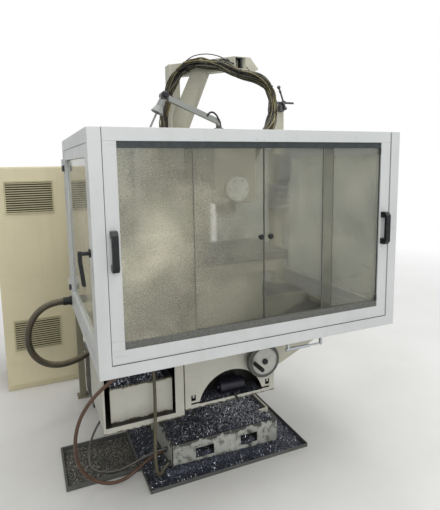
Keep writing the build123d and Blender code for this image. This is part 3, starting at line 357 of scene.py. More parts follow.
# Every material, under the name that dress and the small pieces use.
SKINS = {
    "light_profile": paint("profile_coat", LIGHT, 0.36, 0.05, 0.16, low_z=(0.74, 1.25), streaks=0.10,
                           grime_colour=(0.24, 0.22, 0.17)),
    "cream_paint": paint("cream_coat", CREAM, 0.42, 0.08, 0.35, low_z=(0.3, 0.9)),
    # The column, ram and head take darker copies of the cream: painted shade for the machine's body inside
    # the enclosure.
    "column_paint": paint("column_coat_shaded", (0.40, 0.385, 0.315), 0.42, 0.10, 0.45, low_z=(0.3, 1.6),
                          streaks=0.3),
    "head_paint": paint("head_coat_shaded", (0.41, 0.40, 0.33), 0.38, 0.12, 0.6, low_z=(1.0, 2.2), streaks=0.35),
    "panel_paint": paint("panel_coat", SHADED_PANEL, 0.34, 0.05, 0.30, low_z=(0.34, 0.8), streaks=0.10,
                         inside=((-0.2535, -0.829, 0.30), (0.2515, -0.60, 0.80)),
                         dirty=(("Z", 0.363, 0.012),)),
    "housing_paint": paint("housing_coat", SHADED_PANEL, 0.40, 0.08, 0.35, low_z=(0.3, 0.8), streaks=0.12,
                           inside=((-0.658, -0.8295, 0.361), (-0.264, -0.426, 0.80)),
                           dirty=(("Z", 0.335, 0.012), ("Z", 0.75, 0.012))),
    "bin_paint": paint("bin_coat", SHADED_PANEL, 0.40, 0.08, 0.45, low_z=(0.3, 0.75), streaks=0.2,
                       inside=((-1.0, -0.794, 0.30), (0.0, -0.30, 0.80)),
                       dirty=(("Z", 0.541, 0.020), ("Z", 0.363, 0.014))),
    "hopper_paint": paint("hopper_coat", CREAM, 0.42, 0.08, 0.35, low_z=(0.3, 0.9),
                          inside=((0.257, -0.829, 0.30), (0.737, -0.427, 0.90))),
    "knee_paint": paint("knee_coat", CREAM, 0.45, 0.08, 0.45, low_z=(0.3, 1.2),
                        inside=((-0.30, -0.71, 0.30), (0.30, -0.66, 0.7495))),
    "base_paint": paint("base_coat", (0.48, 0.49, 0.445), 0.55, 0.16, 0.65, low_z=(0.0, 0.6), chips=0.5,
                        grime_colour=(0.055, 0.055, 0.048), under=(0.035, 0.037, 0.042),
                        inside=((-0.3145, -0.7675, -0.01), (0.3145, 0.4285, 0.1435)),
                        dirty=(("Z", 0.145, 0.040), ("Z", 0.004, 0.028), ("X", 0.131, 0.058, 0.75),
                               ("Y", -0.770, 0.02, 0.44))),
    "boom_paint": paint("boom_coat", (0.47, 0.46, 0.37), 0.42, 0.08, 0.15, streaks=0.08),
    "cabinet_paint": paint("cabinet_coat", (0.66, 0.595, 0.405), 0.45, 0.06, 0.16, low_z=(0.0, 0.6),
                           streaks=0.10, grime_colour=(0.25, 0.20, 0.11)),
    "louvre_paint": paint("louvre_coat", (0.50, 0.455, 0.285), 0.5, 0.10, 0.25,
                          grime_colour=(0.12, 0.10, 0.05)),
    "dark_track": plastic("track_coat", (0.027, 0.033, 0.036), 0.4, 0.75, (0.22, 0.215, 0.19), low_dust=0.9),
    "black_plastic": plastic("black_moulding", (0.007, 0.008, 0.009), 0.32, 0.09, rubbed=0.02),
    "bare_steel": metal("steel_rod", (0.55, 0.57, 0.60), 0.25),
    "dark_steel": metal("dark_iron", (0.10, 0.10, 0.105), 0.45, grain=(1, 1, 1)),
    "tray_sheet": paint("tray_sheet", (0.095, 0.097, 0.090), 0.5, 0.25, 0.6,
                        grime_colour=(0.02, 0.02, 0.018), chips=0.4),
    "motor_paint": plastic("motor_coat", (0.006, 0.0055, 0.012), 0.36, 0.07, (0.08, 0.08, 0.09), shine=0.4),
    "table_iron": metal("table_iron", (0.17, 0.175, 0.18), 0.35, grain=(8, 1, 1)),
    # The handwheel's ring is darkened from its dark grey: painted shade of the area under the enclosure.
    "wheel_grey": paint("wheel_ring_shaded", (0.066, 0.069, 0.062), 0.4, 0.12, 0.4, chips=0.1,
                        grime_colour=(0.04, 0.038, 0.03)),
    "wheel_white": turned("wheel_disc", (0.46, 0.465, 0.43), (0.159, -0.9, 0.571)),
    "lamp_grey": paint("lamp_coat", (0.27, 0.285, 0.27), 0.34, 0.08, 0.2,
                       inside=((-0.285, -0.70, 1.906), (-0.236, -0.60, 1.958))),
    "unit_grey": plastic("unit_shell", (0.22, 0.225, 0.22), 0.5, 0.4),
    "post_grey": paint("post_coat", (0.23, 0.215, 0.15), 0.5, 0.15, 0.5, low_z=(0.0, 0.5), chips=0.2),
    "front_pane": pane("front_glazing", 0.155, (-0.62, -1.12, 1.16), (0.60, 0.61, 0.58)),
    "side_glazing": pane("side_glazing", 0.10, (-0.69, -1.0, 0.85), blur=0.06),
    "back_glazing": pane("back_glazing", 0.30, tint=(0.40, 0.41, 0.37), dust=(0.36, 0.355, 0.31), blur=0.12),
    "rubber_seal": plastic("seal_rubber", (0.020, 0.021, 0.022), 0.5, 0.5, (0.16, 0.155, 0.13)),
    "louvre_dark": plastic("louvre_gap", (0.026, 0.022, 0.010), 0.6, 0.3, (0.12, 0.10, 0.05)),
    "cover_white": paint("cover_plate", (0.74, 0.74, 0.71), 0.3, 0.06, 0.25),
    "pane_edge": plastic("sawn_edge", (0.13, 0.133, 0.12), 0.4, 0.3),
    "chips_dark": swarf("dark_swarf"),
    "chips_wet": swarf("wet_swarf", (0.030, 0.030, 0.028), (0.30, 0.31, 0.32), 0.6, 0.3),
    "chips_tray": swarf("tray_chips", (0.010, 0.0105, 0.009), (0.33, 0.32, 0.27), 0.64, 0.2),
    "flakes_tray": metal("tray_flakes", (0.34, 0.33, 0.29), 0.4, (0.03, 0.03, 0.025), 0.8, (1, 1, 1)),
    "flakes_pale": metal("pale_flakes", (0.62, 0.64, 0.66), 0.4, (0.25, 0.25, 0.26), 0.5, (1, 1, 1)),
    "flakes": metal("chip_flakes", (0.36, 0.38, 0.43), 0.25, (0.02, 0.02, 0.03), 0.9, (1, 1, 1)),
}


def dress(material, *names):
    """Give a material to nodes of the record."""
    for name in names:
        for place in nodes[name].material_slots:
            place.material = SKINS[material]


dress("light_profile", "lower_rails", "corner_posts", "side_top_rails", "door_frame", "side_leaf_frame",
      "window_frames")
dress("cream_paint", "guard_strip", "cable_duct")
dress("column_paint", "column")
dress("head_paint", "ram", "head_housing", "floor_sheet")
dress("panel_paint", "knee_panel")
dress("housing_paint", "chip_housing")
dress("bin_paint", "chip_bin")
dress("hopper_paint", "right_hopper")
dress("knee_paint", "knee_casting")
dress("base_paint", "base_casting")
dress("boom_paint", "boom_frame", "right_pillar")
dress("cabinet_paint", "cabinet_body", "cabinet_door")
dress("louvre_paint", "cabinet_louvres")
dress("dark_track", "door_tracks")
dress("black_plastic", "door_handles", "left_knob", "right_knob", "side_lever", "conduit_coupling",
      "crank_grip", "wheel_cap", "cable_ties")
dress("bare_steel", "rail_stay", "lift_screw", "spindle")
dress("dark_steel", "pillar_clamp", "side_hinges", "lamp_base")
dress("tray_sheet", "drip_pan", "floor_tray", "coolant_tank")
dress("motor_paint", "drive_motor")
dress("table_iron", "table")
dress("wheel_grey", "wheel_drum")
dress("wheel_white", "wheel_disc")
dress("lamp_grey", "lamp_arm", "lamp_head")
dress("unit_grey", "pillar_units")
dress("post_grey", "rear_post")
dress("front_pane", "outer_panes", "left_pane", "right_pane")
dress("side_glazing", "side_pane")
dress("back_glazing", "fixed_panes")


def solid(name, points, faces, materials, body=None, which=None, smooth=False):
    """A mesh piece in the row frame that rides on a body."""
    mesh = bpy.data.meshes.new(name)
    mesh.from_pydata([tuple(p) for p in points], [], [tuple(int(i) for i in face) for face in faces])
    for material in materials:
        mesh.materials.append(material)
    if which is not None:
        mesh.polygons.foreach_set("material_index", np.asarray(which, dtype=np.int32))
    mesh.polygons.foreach_set("use_smooth", [smooth] * len(mesh.polygons))
    mesh.update()
    piece = bpy.data.objects.new(name, mesh)
    bpy.context.scene.collection.objects.link(piece)
    if body:
        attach(piece, body)
    return piece


def route_line(points, step=0.006):
    """Points a step apart on the smooth NURBS line that a route's points control."""
    curve = bpy.data.curves.new("route", "CURVE")
    curve.dimensions = "3D"
    curve.resolution_u = 24
    spline = curve.splines.new("NURBS")
    spline.points.add(len(points) - 1)
    for knot, point in zip(spline.points, points):
        knot.co = (*point, 1.0)
    spline.order_u = 3
    spline.use_endpoint_u = True
    holder = bpy.data.objects.new("route", curve)
    mesh = bpy.data.meshes.new_from_object(holder)
    line = np.array([v.co for v in mesh.vertices], float)
    bpy.data.objects.remove(holder)
    bpy.data.curves.remove(curve)
    bpy.data.meshes.remove(mesh)
    run = np.concatenate(([0], np.cumsum(np.linalg.norm(np.diff(line, axis=0), axis=1))))
    even = np.linspace(0, run[-1], max(8, int(run[-1] / step)))
    return np.column_stack([np.interp(even, run, line[:, k]) for k in range(3)])


def frames_along(line):
    """Two directions across a line at each of its points, with no twist from one to the next."""
    ahead = np.gradient(line, axis=0)
    ahead /= np.linalg.norm(ahead, axis=1)[:, None]
    start = np.cross(ahead[0], (0, 1, 0) if abs(ahead[0][1]) < 0.9 else (1, 0, 0))
    across = [start / np.linalg.norm(start)]
    for direction in ahead[1:]:
        turned_on = across[-1] - direction * np.dot(across[-1], direction)
        across.append(turned_on / np.linalg.norm(turned_on))
    across = np.array(across)
    return ahead, across, np.cross(ahead, across)


def ring_faces(rows, sides):
    """Faces over rows of points that stand in rings, closed at both ends."""
    faces = []
    for row in range(rows - 1):
        for k in range(sides):
            n = (k + 1) % sides
            faces.append((row * sides + k, row * sides + n, (row + 1) * sides + n, (row + 1) * sides + k))
    faces.append(tuple(range(sides - 1, -1, -1)))
    last = (rows - 1) * sides
    faces.append(tuple(range(last, last + sides)))
    return faces


def tube(line, radius, sides):
    """Points and faces of a round tube along a line, closed at both ends."""
    _, across, over = frames_along(line)
    radius = np.broadcast_to(np.asarray(radius, float), (len(line),))
    turn = np.linspace(0, 2 * math.pi, sides, endpoint=False)
    ring = across[:, None, :] * np.cos(turn)[None, :, None] + over[:, None, :] * np.sin(turn)[None, :, None]
    points = (line[:, None, :] + ring * radius[:, None, None]).reshape(-1, 3)
    return points, ring_faces(len(line), sides)


class Pile:
    """Meshes gathered into one piece, each with a material."""

    def __init__(self):
        self.points, self.faces, self.which, self.count = [], [], [], 0

    def take(self, points, faces, material=0):
        """Add a mesh, with its place in the list of materials."""
        self.points.append(np.asarray(points, float))
        self.faces += [tuple(i + self.count for i in face) for face in faces]
        self.which += [material] * len(faces)
        self.count += len(points)
        return self

    def make(self, name, materials, body, slot, smooth=False):
        """The gathered meshes as one piece."""
        return solid(name, np.concatenate(self.points), self.faces, materials, body, self.which, smooth)


def box_mesh(low, high):
    """A box's points and faces."""
    points = [(x, y, z) for x in (low[0], high[0]) for y in (low[1], high[1]) for z in (low[2], high[2])]
    faces = [(0, 1, 3, 2), (4, 6, 7, 5), (0, 4, 5, 1), (2, 3, 7, 6), (0, 2, 6, 4), (1, 5, 7, 3)]
    return points, faces


def lathe_mesh(profile, origin, axis, sides=24):
    """A turned shape: profile is (distance along the axis, radius) pairs."""
    axis = Vector(axis).normalized()
    turn = axis.to_track_quat("Z", "Y").to_matrix()
    points = []
    for along, radius in profile:
        for k in range(sides):
            angle = 2 * math.pi * k / sides
            local = Vector((radius * math.cos(angle), radius * math.sin(angle), along))
            points.append(tuple(turn @ local + Vector(origin)))
    return points, ring_faces(len(profile), sides)


# The cords' routes: the same points as the solids' routes have, in metres.
RISER = [(-0.074, 0.008, 1.800), (-0.074, 0.008, 1.885), (-0.058, 0.010, 1.978), (-0.025, 0.002, 2.084),
         (0.018, -0.040, 2.172), (0.096, -0.126, 2.222)]
LOOP = [(0.170, -0.218, 2.192), (0.234, -0.2976, 2.166), (0.294, -0.362, 2.114), (0.376, -0.386, 2.104),
        (0.454, -0.392, 2.072), (0.488, -0.410, 1.996), (0.474, -0.446, 1.906), (0.424, -0.498, 1.818),
        (0.348, -0.556, 1.742), (0.270, -0.602, 1.680), (0.218, -0.625, 1.602), (0.218, -0.625, 1.5003)]
CONDUIT = [(-0.7553, -0.057, 0.784), (-0.808, -0.057, 0.784), (-0.878, -0.055, 0.757),
           (-0.933, -0.050, 0.700), (-0.963, -0.043, 0.618), (-0.963, -0.034, 0.530),
           (-0.934, -0.020, 0.450), (-0.875, -0.004, 0.388), (-0.790, 0.016, 0.355),
           (-0.690, 0.046, 0.357), (-0.585, 0.080, 0.388), (-0.470, 0.110, 0.425),
           (-0.345, 0.130, 0.450), (-0.2153, 0.130, 0.450)]
COOLANT = [(-0.560, -0.900, 0.7497), (-0.560, -0.900, 0.714), (-0.578, -0.900, 0.672),
           (-0.618, -0.898, 0.632), (-0.690, -0.893, 0.582), (-0.752, -0.880, 0.505),
           (-0.786, -0.855, 0.405), (-0.793, -0.820, 0.290), (-0.776, -0.778, 0.170),
           (-0.725, -0.748, 0.075), (-0.640, -0.745, 0.018), (-0.550, -0.735, 0.013),
           (-0.470, -0.706, 0.036), (-0.392, -0.676, 0.062), (-0.3183, -0.660, 0.062)]
DRAIN = [(-0.600, -0.540, 0.3597), (-0.600, -0.540, 0.326), (-0.611, -0.538, 0.288), (-0.636, -0.533, 0.244),
         (-0.668, -0.528, 0.190), (-0.693, -0.527, 0.128), (-0.705, -0.535, 0.072), (-0.706, -0.560, 0.030),
         (-0.692, -0.594, 0.012), (-0.650, -0.632, 0.011), (-0.594, -0.658, 0.014), (-0.530, -0.670, 0.032),
         (-0.462, -0.682, 0.062), (-0.392, -0.690, 0.088), (-0.317, -0.694, 0.092)]
AIR = [(-0.420, -0.860, 0.7497), (-0.420, -0.860, 0.610), (-0.418, -0.862, 0.460), (-0.423, -0.860, 0.310),
       (-0.425, -0.858, 0.200), (-0.423, -0.852, 0.118), (-0.408, -0.834, 0.056), (-0.384, -0.797, 0.027),
       (-0.356, -0.762, 0.041), (-0.3193, -0.744, 0.044)]

CABLE = [plastic(f"cable_{n}", tone, 0.45, 0.25, (0.20, 0.19, 0.15)) for n, tone in (
    ("black", (0.018, 0.017, 0.013)), ("grey", (0.072, 0.071, 0.056)), ("olive", (0.085, 0.076, 0.036)),
    ("brown", (0.060, 0.046, 0.028)), ("yellow", (0.135, 0.118, 0.050)))]
bundle = route_line(RISER + LOOP, 0.009)
joint_at = int(np.argmin(np.linalg.norm(bundle - np.array(LOOP[0]), axis=1)))
bundle_ahead, bundle_across, bundle_over = frames_along(bundle)
bundle_run = np.concatenate(([0], np.cumsum(np.linalg.norm(np.diff(bundle, axis=0), axis=1))))
# Radius, distance from the middle, angle and skin of each cable, in metres and radians.
STRANDS = [(0.0060, 0.000, 0.0, 0)]
STRANDS += [(0.0055 + 0.0010 * (k % 2), 0.0135, k * math.tau / 5 + 0.4, (1, 0, 3, 0, 1)[k]) for k in range(5)]
STRANDS += [(0.0036 + 0.0020 * ((k * 5) % 4) / 3, 0.0240 + 0.0025 * math.sin(k * 2.6), k * math.tau / 14,
             (0, 2, 0, 1, 3, 0, 2, 4, 0, 3, 1, 2, 0, 4)[k]) for k in range(14)]
# The bundle and its ties, in metres, with the ties' places along it.
BUNDLE_REACH = 0.0340
TIE_RUNS = [0.09, 0.25, 0.395, 0.52, 0.70, 0.83, 1.04, 1.22, 1.40, 1.60]
TIE_PULL = 0.0065
TIE_SPREAD = 0.028
TIE_SINK = 0.0008
TIE_HALF_WIDTH = 0.0016
TIE_STRAP = 0.0017
TIE_CLEAR = 0.01
LOOSE_END = 0.10
OUTER_FROM = 0.02
SMALL_CABLE = 0.0032
SLACK_CABLE = 0.0030
ENTRY_CABLES = (0, 1, 0, 2, 1, 0, 3)


def reach_at(run):
    """How far from the middle the cables may stand: less at a tie."""
    pull = sum(np.exp(-((run - at) / TIE_SPREAD) ** 2) for at in TIE_RUNS)
    return BUNDLE_REACH - TIE_PULL * np.minimum(pull, 1.0)


def strand_line(number, rows):
    """One cable's own line inside the bundle: it drifts and crosses its neighbours a little."""
    radius, out, angle, _ = STRANDS[number]
    run = bundle_run[rows]
    loose = np.clip(np.minimum(run, bundle_run[-1] - run) / LOOSE_END, 0, 1)
    sway, stray = (1, 0.0060) if out > OUTER_FROM else (0.4, 0.0012)
    wander = 0.55 * np.sin(run * (6.0 + 1.7 * (number % 5)) + number * 1.7) * loose
    turn = angle + 0.8 * run + wander * sway
    far = out + stray * np.sin(run * (13.0 + 2.1 * (number % 6)) + number * 2.3) * loose
    far = np.minimum(far, reach_at(run) - radius)
    aside = bundle_across[rows] * (far * np.cos(turn))[:, None]
    return bundle[rows] + aside + bundle_over[rows] * (far * np.sin(turn))[:, None]


def tie_ring(pile, run):
    """A cable tie round the bundle: two turns of a thin strap, side by side."""
    at = int(np.argmin(np.abs(bundle_run - run)))
    turn = np.linspace(0, math.tau * 1.02, 30)[:, None]
    reach = float(reach_at(bundle_run[at])) - TIE_SINK
    ring = bundle[at] + reach * (bundle_across[at] * np.cos(turn) + bundle_over[at] * np.sin(turn))
    for shift in (-TIE_HALF_WIDTH, TIE_HALF_WIDTH):
        pile.take(*tube(ring + bundle_ahead[at] * shift, TIE_STRAP, 6), 0)


def strands(first, last):
    """The bundle's cables and ties between two of its points."""
    pile = Pile()
    rows = np.arange(first, last + 1)
    for number, (radius, _, _, skin) in enumerate(STRANDS):
        pile.take(*tube(strand_line(number, rows), radius, 8), skin)
    for run in TIE_RUNS:
        if bundle_run[first] + TIE_CLEAR < run < bundle_run[last] - TIE_CLEAR:
            tie_ring(pile, run)
    return pile


riser_pile = strands(0, joint_at)
slack = route_line([(-0.010, -0.028, 2.110), (0.022, -0.060, 2.190), (0.066, -0.110, 2.246),
                    (0.116, -0.150, 2.262), (0.180, -0.185, 2.262), (0.236, -0.235, 2.236),
                    (0.262, -0.262, 2.205), (0.285, -0.300, 2.190)])
riser_pile.take(*tube(slack, SLACK_CABLE, 7), 0)
for k, skin in enumerate(ENTRY_CABLES):
    entry = route_line([(0.150 + 0.012 * k, -0.196 - 0.012 * k, 2.206 - 0.004 * k),
                        (0.205 + 0.010 * k, -0.236 - 0.006 * k, 2.214 + 0.005 * (k % 3)),
                        (0.262 + 0.003 * k, -0.268 - 0.003 * (k % 3), 2.222 - 0.007 * k),
                        (0.301, -0.276 - 0.003 * (k % 4), 2.216 - 0.007 * k)])
    riser_pile.take(*tube(entry, SMALL_CABLE + 0.0006 * (k % 3), 7), skin)
riser = riser_pile.make("riser_cables", CABLE, "machine_base", "cable_skin", True)
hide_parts("cable_riser")
loop = strands(joint_at, len(bundle) - 1).make("loop_cables", CABLE, None, "cable_skin", True)
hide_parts("cable_loop")
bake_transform(loop)


def hose_piece(name, points, radius, material, slot, node, start, end, sides=14, step=0.006, ribs=None,
               **facts):
    """A hose from the knee's enclosure to the base, made as a fixed tube along its route.

    ribs gives a ribbed hose's pitch and depth."""
    line = route_line(points, step)
    width = radius
    if ribs:
        run = np.concatenate(([0], np.cumsum(np.linalg.norm(np.diff(line, axis=0), axis=1))))
        width = radius - ribs[1] * (0.5 - 0.5 * np.cos(2 * math.pi * run / ribs[0]))
    points_made, faces = tube(line, width, sides)
    piece = solid(name, points_made, faces, [material], smooth=True)
    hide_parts(node)
    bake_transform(piece)


def rubber(name, base, worn, top, rough=0.45):
    """A hose's skin: worn along its length, and lighter on top with dust and a painted highlight."""
    f = Finish(name)
    tone = f.mix(f.noise(11, 0.3, 0.7, 6), base, worn)
    tone = f.mix(f.product(f.noise(90, 0.5, 0.8, 5), 0.5), tone, times(base, 0.4))
    # Lighter on what faces up: dust and a painted highlight.
    tone = f.mix(f.product(f.facing_up(0.1, 0.95), f.noise(30, 0.2, 0.7, 5)), tone, top)
    f.colour(tone)
    f.rough(f.span(f.noise(44, 0.2, 0.8, 4), 0, 1, rough - 0.12, rough + 0.15))
    f.bump(f.noise(260, 0.2, 0.8, 4), 0.0003, 0.5)
    return f.material


hose_piece("conduit_hose", CONDUIT, 0.020,
           rubber("conduit_skin", (0.036, 0.029, 0.016), (0.062, 0.051, 0.028), (0.20, 0.17, 0.095)),
           "conduit_skin", "conduit", (-0.2153, 0.130, 0.450), (-0.7553, -0.057, 0.784), 18, 0.002,
           (0.008, 0.0014), length=1.19, stiffness="stiff", lay="hanging")
hose_piece("coolant_line", COOLANT, 0.0085,
           rubber("coolant_skin", (0.052, 0.023, 0.011), (0.090, 0.042, 0.021), (0.14, 0.08, 0.048)),
           "brown_hose", "coolant_hose", (-0.56, -0.9, 0.10), (-0.56, -0.9, 0.70), length=1.17,
           stiffness="medium", lay="hanging")
hose_piece("drain_line", DRAIN, 0.006,
           rubber("drain_skin", (0.050, 0.048, 0.040), (0.085, 0.08, 0.066), (0.15, 0.145, 0.125)),
           "grey_hose", "drain_hose", (-0.6, -0.54, 0.06), (-0.6, -0.54, 0.33), length=0.77,
           stiffness="medium", lay="hanging")
hose_piece("air_line", AIR, 0.008,
           rubber("air_skin", (0.060, 0.055, 0.028), (0.100, 0.09, 0.05), (0.16, 0.15, 0.10)),
           "olive_hose", "air_hose", (-0.42, -0.86, 0.12), (-0.42, -0.86, 0.60), length=0.83,
           stiffness="medium", lay="hanging")

# Heights of a bed's sheet and of its flakes over the surface under them, and the flakes' distance
# from its edge, in metres.
BED_LIFT = 0.0004
FLAKE_LIFT = 0.0015
FLAKE_LOWEST = 0.0006
FLAKE_MARGIN = 0.004
# Waves of a bed's sheet: steps along x and y, phase and share.
BED_WAVES = ((7, 9, 0.3, 0.5), (17, 13, 1.2, 0.3), (31, 37, 2.1, 0.2))


def heap(name, x0, x1, y0, y1, z, height, materials, body, cell=0.007, flakes=3000, flake=0.0045,
         mound=None, keep_out=(), pale=None):
    """A bed of chips: an uneven sheet with small curled flakes lying on it.

    mound gives more height and pale the share of pale flakes at a place; keep_out lists bare areas."""
    nx, ny = max(3, int((x1 - x0) / cell)), max(3, int((y1 - y0) / cell))
    xs, ys = np.linspace(x0, x1, nx), np.linspace(y0, y1, ny)
    gx, gy = np.meshgrid(xs, ys, indexing="ij")
    rough_field = dice.random((nx, ny))
    broad = np.zeros((nx, ny))
    for kx, ky, phase, weight in BED_WAVES:
        broad += weight * (0.5 + 0.5 * np.sin(gx * kx * 4 + phase) * np.cos(gy * ky * 4 + phase * 2))
    level = height * (0.35 * broad + 0.45 * rough_field)
    if mound is not None:
        level = level + mound(gx, gy)
    edge = np.minimum(np.minimum(gx - x0, x1 - gx), np.minimum(gy - y0, y1 - gy))
    level *= np.clip(edge / (2.5 * cell), 0, 1)
    points = np.column_stack([gx.ravel(), gy.ravel(), (z + BED_LIFT + level).ravel()])
    faces = []
    hidden = np.zeros((nx, ny), bool)
    for kx0, kx1, ky0, ky1 in keep_out:
        hidden |= (gx > kx0) & (gx < kx1) & (gy > ky0) & (gy < ky1)
    for i in range(nx - 1):
        for j in range(ny - 1):
            if not hidden[i:i + 2, j:j + 2].any():
                faces.append((i * ny + j, (i + 1) * ny + j, (i + 1) * ny + j + 1, i * ny + j + 1))
    pile = Pile().take(points, faces, 0)
    ci, cj = dice.integers(1, nx - 1, flakes), dice.integers(1, ny - 1, flakes)
    keep = ~hidden[ci, cj]
    ci, cj = ci[keep], cj[keep]
    count = len(ci)
    centre = np.column_stack([xs[ci] + dice.normal(0, cell / 2, count),
                              ys[cj] + dice.normal(0, cell / 2, count), z + level[ci, cj] + FLAKE_LIFT])
    centre[:, 0] = np.clip(centre[:, 0], x0 + FLAKE_MARGIN, x1 - FLAKE_MARGIN)
    centre[:, 1] = np.clip(centre[:, 1], y0 + FLAKE_MARGIN, y1 - FLAKE_MARGIN)
    angle = dice.uniform(0, 2 * math.pi, count)
    tilt = dice.normal(0, 0.5, (count, 2))
    long = np.column_stack([np.cos(angle), np.sin(angle), tilt[:, 0]])
    long *= (flake * dice.uniform(0.5, 1.3, count))[:, None]
    wide = np.column_stack([-np.sin(angle), np.cos(angle), tilt[:, 1]])
    wide *= (flake * dice.uniform(0.2, 0.5, count))[:, None]
    lift = np.column_stack([np.zeros(count), np.zeros(count), flake * dice.uniform(0.0, 0.5, count)])
    corners = np.stack([centre - long - wide, centre - wide + lift, centre + long - wide,
                        centre + long + wide, centre + wide + lift, centre - long + wide], 1).reshape(-1, 3)
    corners[:, 2] = np.maximum(corners[:, 2], z + FLAKE_LOWEST)
    flake_faces = []
    for k in range(count):
        b = 6 * k
        flake_faces += [(b, b + 1, b + 4, b + 5), (b + 1, b + 2, b + 3, b + 4)]
    pile.take(corners, flake_faces, 1)
    if pale:
        light = dice.random(count) < pale(centre[:, 0], centre[:, 1])
        pile.which[-2 * count:] = [2 if light[k // 2] else 1 for k in range(2 * count)]
    pile.make(name, materials, body, "dark_steel")


def streak(x, y):
    """Share of pale flakes on the base: a fan from the middle of its top to its front edge."""
    along = np.clip((y + 0.77) / 0.42, 0, 1)
    middle = 0.13 - 0.06 * along
    return 0.75 * np.exp(-((x - middle) / (0.20 - 0.13 * along)) ** 2) * (y < -0.32) + 0.04


DARK_BED = [SKINS["chips_dark"], SKINS["flakes"]]
heap("base_swarf", -0.308, 0.288, -0.762, -0.066, 0.145, 0.012, DARK_BED + [SKINS["flakes_pale"]],
     "machine_base", flakes=14000, flake=0.004, pale=streak,
     mound=lambda x, y: 0.012 * np.exp(-((x - 0.10) ** 2 + (y + 0.62) ** 2) / 0.03)
     + 0.020 * np.exp(-((x - 0.30) / 0.03) ** 2 - ((y + 0.56) / 0.16) ** 2))
heap("pan_swarf", -0.456, 0.441, -0.876, 0.436, 0.002, 0.009, DARK_BED, "machine_base", flakes=9000,
     cell=0.009, keep_out=((-0.322, 0.322, -0.775, 0.436),),
     mound=lambda x, y: (0.010 + 0.022 * np.clip((0.32 - x) / 0.64, 0, 1))
     * np.exp(-((y + 0.775) / 0.035) ** 2) * (np.abs(x) < 0.36))
heap("tray_swarf", -0.823, -0.470, -0.678, -0.346, 0.003, 0.007, [SKINS["chips_tray"], SKINS["flakes_tray"]],
     "machine_base", flakes=6000, flake=0.0022)
for side, low in (("left", -0.182), ("right", 0.081)):
    heap(f"{side}_pocket_swarf", low, low + 0.100, -0.764, -0.60, 0.043, 0.012, DARK_BED, "machine_base",
         cell=0.005, flakes=900, mound=lambda x, y, low=low: 0.016 * np.exp(-((x - low - 0.07) / 0.03) ** 2))
heap("panel_lip_swarf", -0.19, 0.19, -0.824, -0.704, 0.366, 0.012, DARK_BED, "knee", cell=0.005,
     flakes=2500)
heap("floor_swarf", -0.640, 0.738, -1.078, -0.090, 0.753, 0.007, [SKINS["chips_wet"], SKINS["flakes"]],
     "knee", flakes=7000, cell=0.011,
     keep_out=((-0.212, 0.212, -0.812, -0.080), (-0.672, -0.256, -0.838, -0.418),
               (0.250, 0.722, -0.838, -0.418), (-0.275, 0.275, -0.20, -0.08), (0.650, 0.745, -0.20, -0.08)))
heap("bin_swarf", -0.617, -0.315, -0.793, -0.447, 0.470, 0.016, DARK_BED, "bin", flakes=5000,
     mound=lambda x, y: 0.055 * np.exp(-((x + 0.44) ** 2 + (y + 0.62) ** 2) / 0.02))


def boxes(name, material, body, slot, *limits):
    """A piece of several boxes, each given by its limits in millimetres."""
    pile = Pile()
    for x0, x1, y0, y1, z0, z1 in limits:
        pile.take(*box_mesh((x0 / 1000, y0 / 1000, z0 / 1000), (x1 / 1000, y1 / 1000, z1 / 1000)))
    pile.make(name, [SKINS[material]], body, slot)


# Limits that several of the small boxes share, in millimetres.
GAP = (-1125, -1095, 801, 1733)
PANE_Z = (889, 1655)
OUTER = (-1119.5, -1111.5, *PANE_Z)
INNER = (-1108.8, -1102.2, *PANE_Z)
INNER_BACK = (-1109, -1102, *PANE_Z)
STOP = (672, 684.6, -1127, -1122.2)
GRILLE_Y = (528.4, 528.95)
MOUTH_Y = (-299.5, -262)

boxes("door_gap_seals", "rubber_seal", "knee", "black_plastic", (-654.7, -652.5, *GAP), (742.4, 744.7, *GAP))
boxes("outer_pane_edges", "pane_edge", "front_door", "clear_pane", (-292, -289.5, *OUTER),
      (351.5, 354, *OUTER))
boxes("door_corner_stops", "rubber_seal", "front_door", "black_plastic",
      (681, 684.6, -1121.5, -1118.3, *PANE_Z), (*STOP, 1625, 1655.6), (*STOP, 888, 915))
boxes("left_pane_edges", "rubber_seal", "left_slider", "black_plastic", (41.2, 43.2, *INNER))
boxes("left_pane_back_edge", "pane_edge", "left_slider", "clear_pane", (-324, -321.5, *INNER_BACK))
boxes("right_pane_edges", "pane_edge", "right_slider", "clear_pane", (44.5, 46.5, *INNER))
boxes("right_pane_back_edge", "pane_edge", "right_slider", "clear_pane", (413.5, 416, *INNER_BACK))
boxes("louvre_shadow", "louvre_dark", "cabinet_leaf", "black_plastic",
      (-1043.5, -747.5, *GRILLE_Y, 1280.5, 1484.5), (-1047.5, -751.5, *GRILLE_Y, 302.5, 508.5))
# Black strips lining the boom's mouth: painted shade inside the opening.
boxes("boom_mouth_shade_lining", "rubber_seal", "machine_base", "black_plastic", (292, 296.5, *MOUTH_Y, 2164, 2228),
      (330, 341, *MOUTH_Y, 2164, 2228), (296.5, 330, *MOUTH_Y, 2222, 2228),
      (296.5, 330, *MOUTH_Y, 2159.5, 2161.5))


def small_cord(name, body, radius, sides, points):
    """A short black cord or hook that stays on its body."""
    pile = Pile().take(*tube(route_line(points, 0.003), radius, sides))
    pile.make(name, [SKINS["black_plastic"]], body, "black_plastic", True)


small_cord("panel_hook", "knee", 0.0055, 10, [
    (0.010, -0.8335, 0.396), (0.012, -0.838, 0.404), (0.016, -0.845, 0.400), (0.020, -0.846, 0.380),
    (0.030, -0.844, 0.362), (0.038, -0.838, 0.356)])


def fitting(name, material, body, place, axis, *profile):
    """A turned fitting: (distance along the axis, radius) pairs in millimetres."""
    points, faces = lathe_mesh([(along / 1000, radius / 1000) for along, radius in profile], place, axis)
    solid(name, points, faces, [SKINS[material]], body)


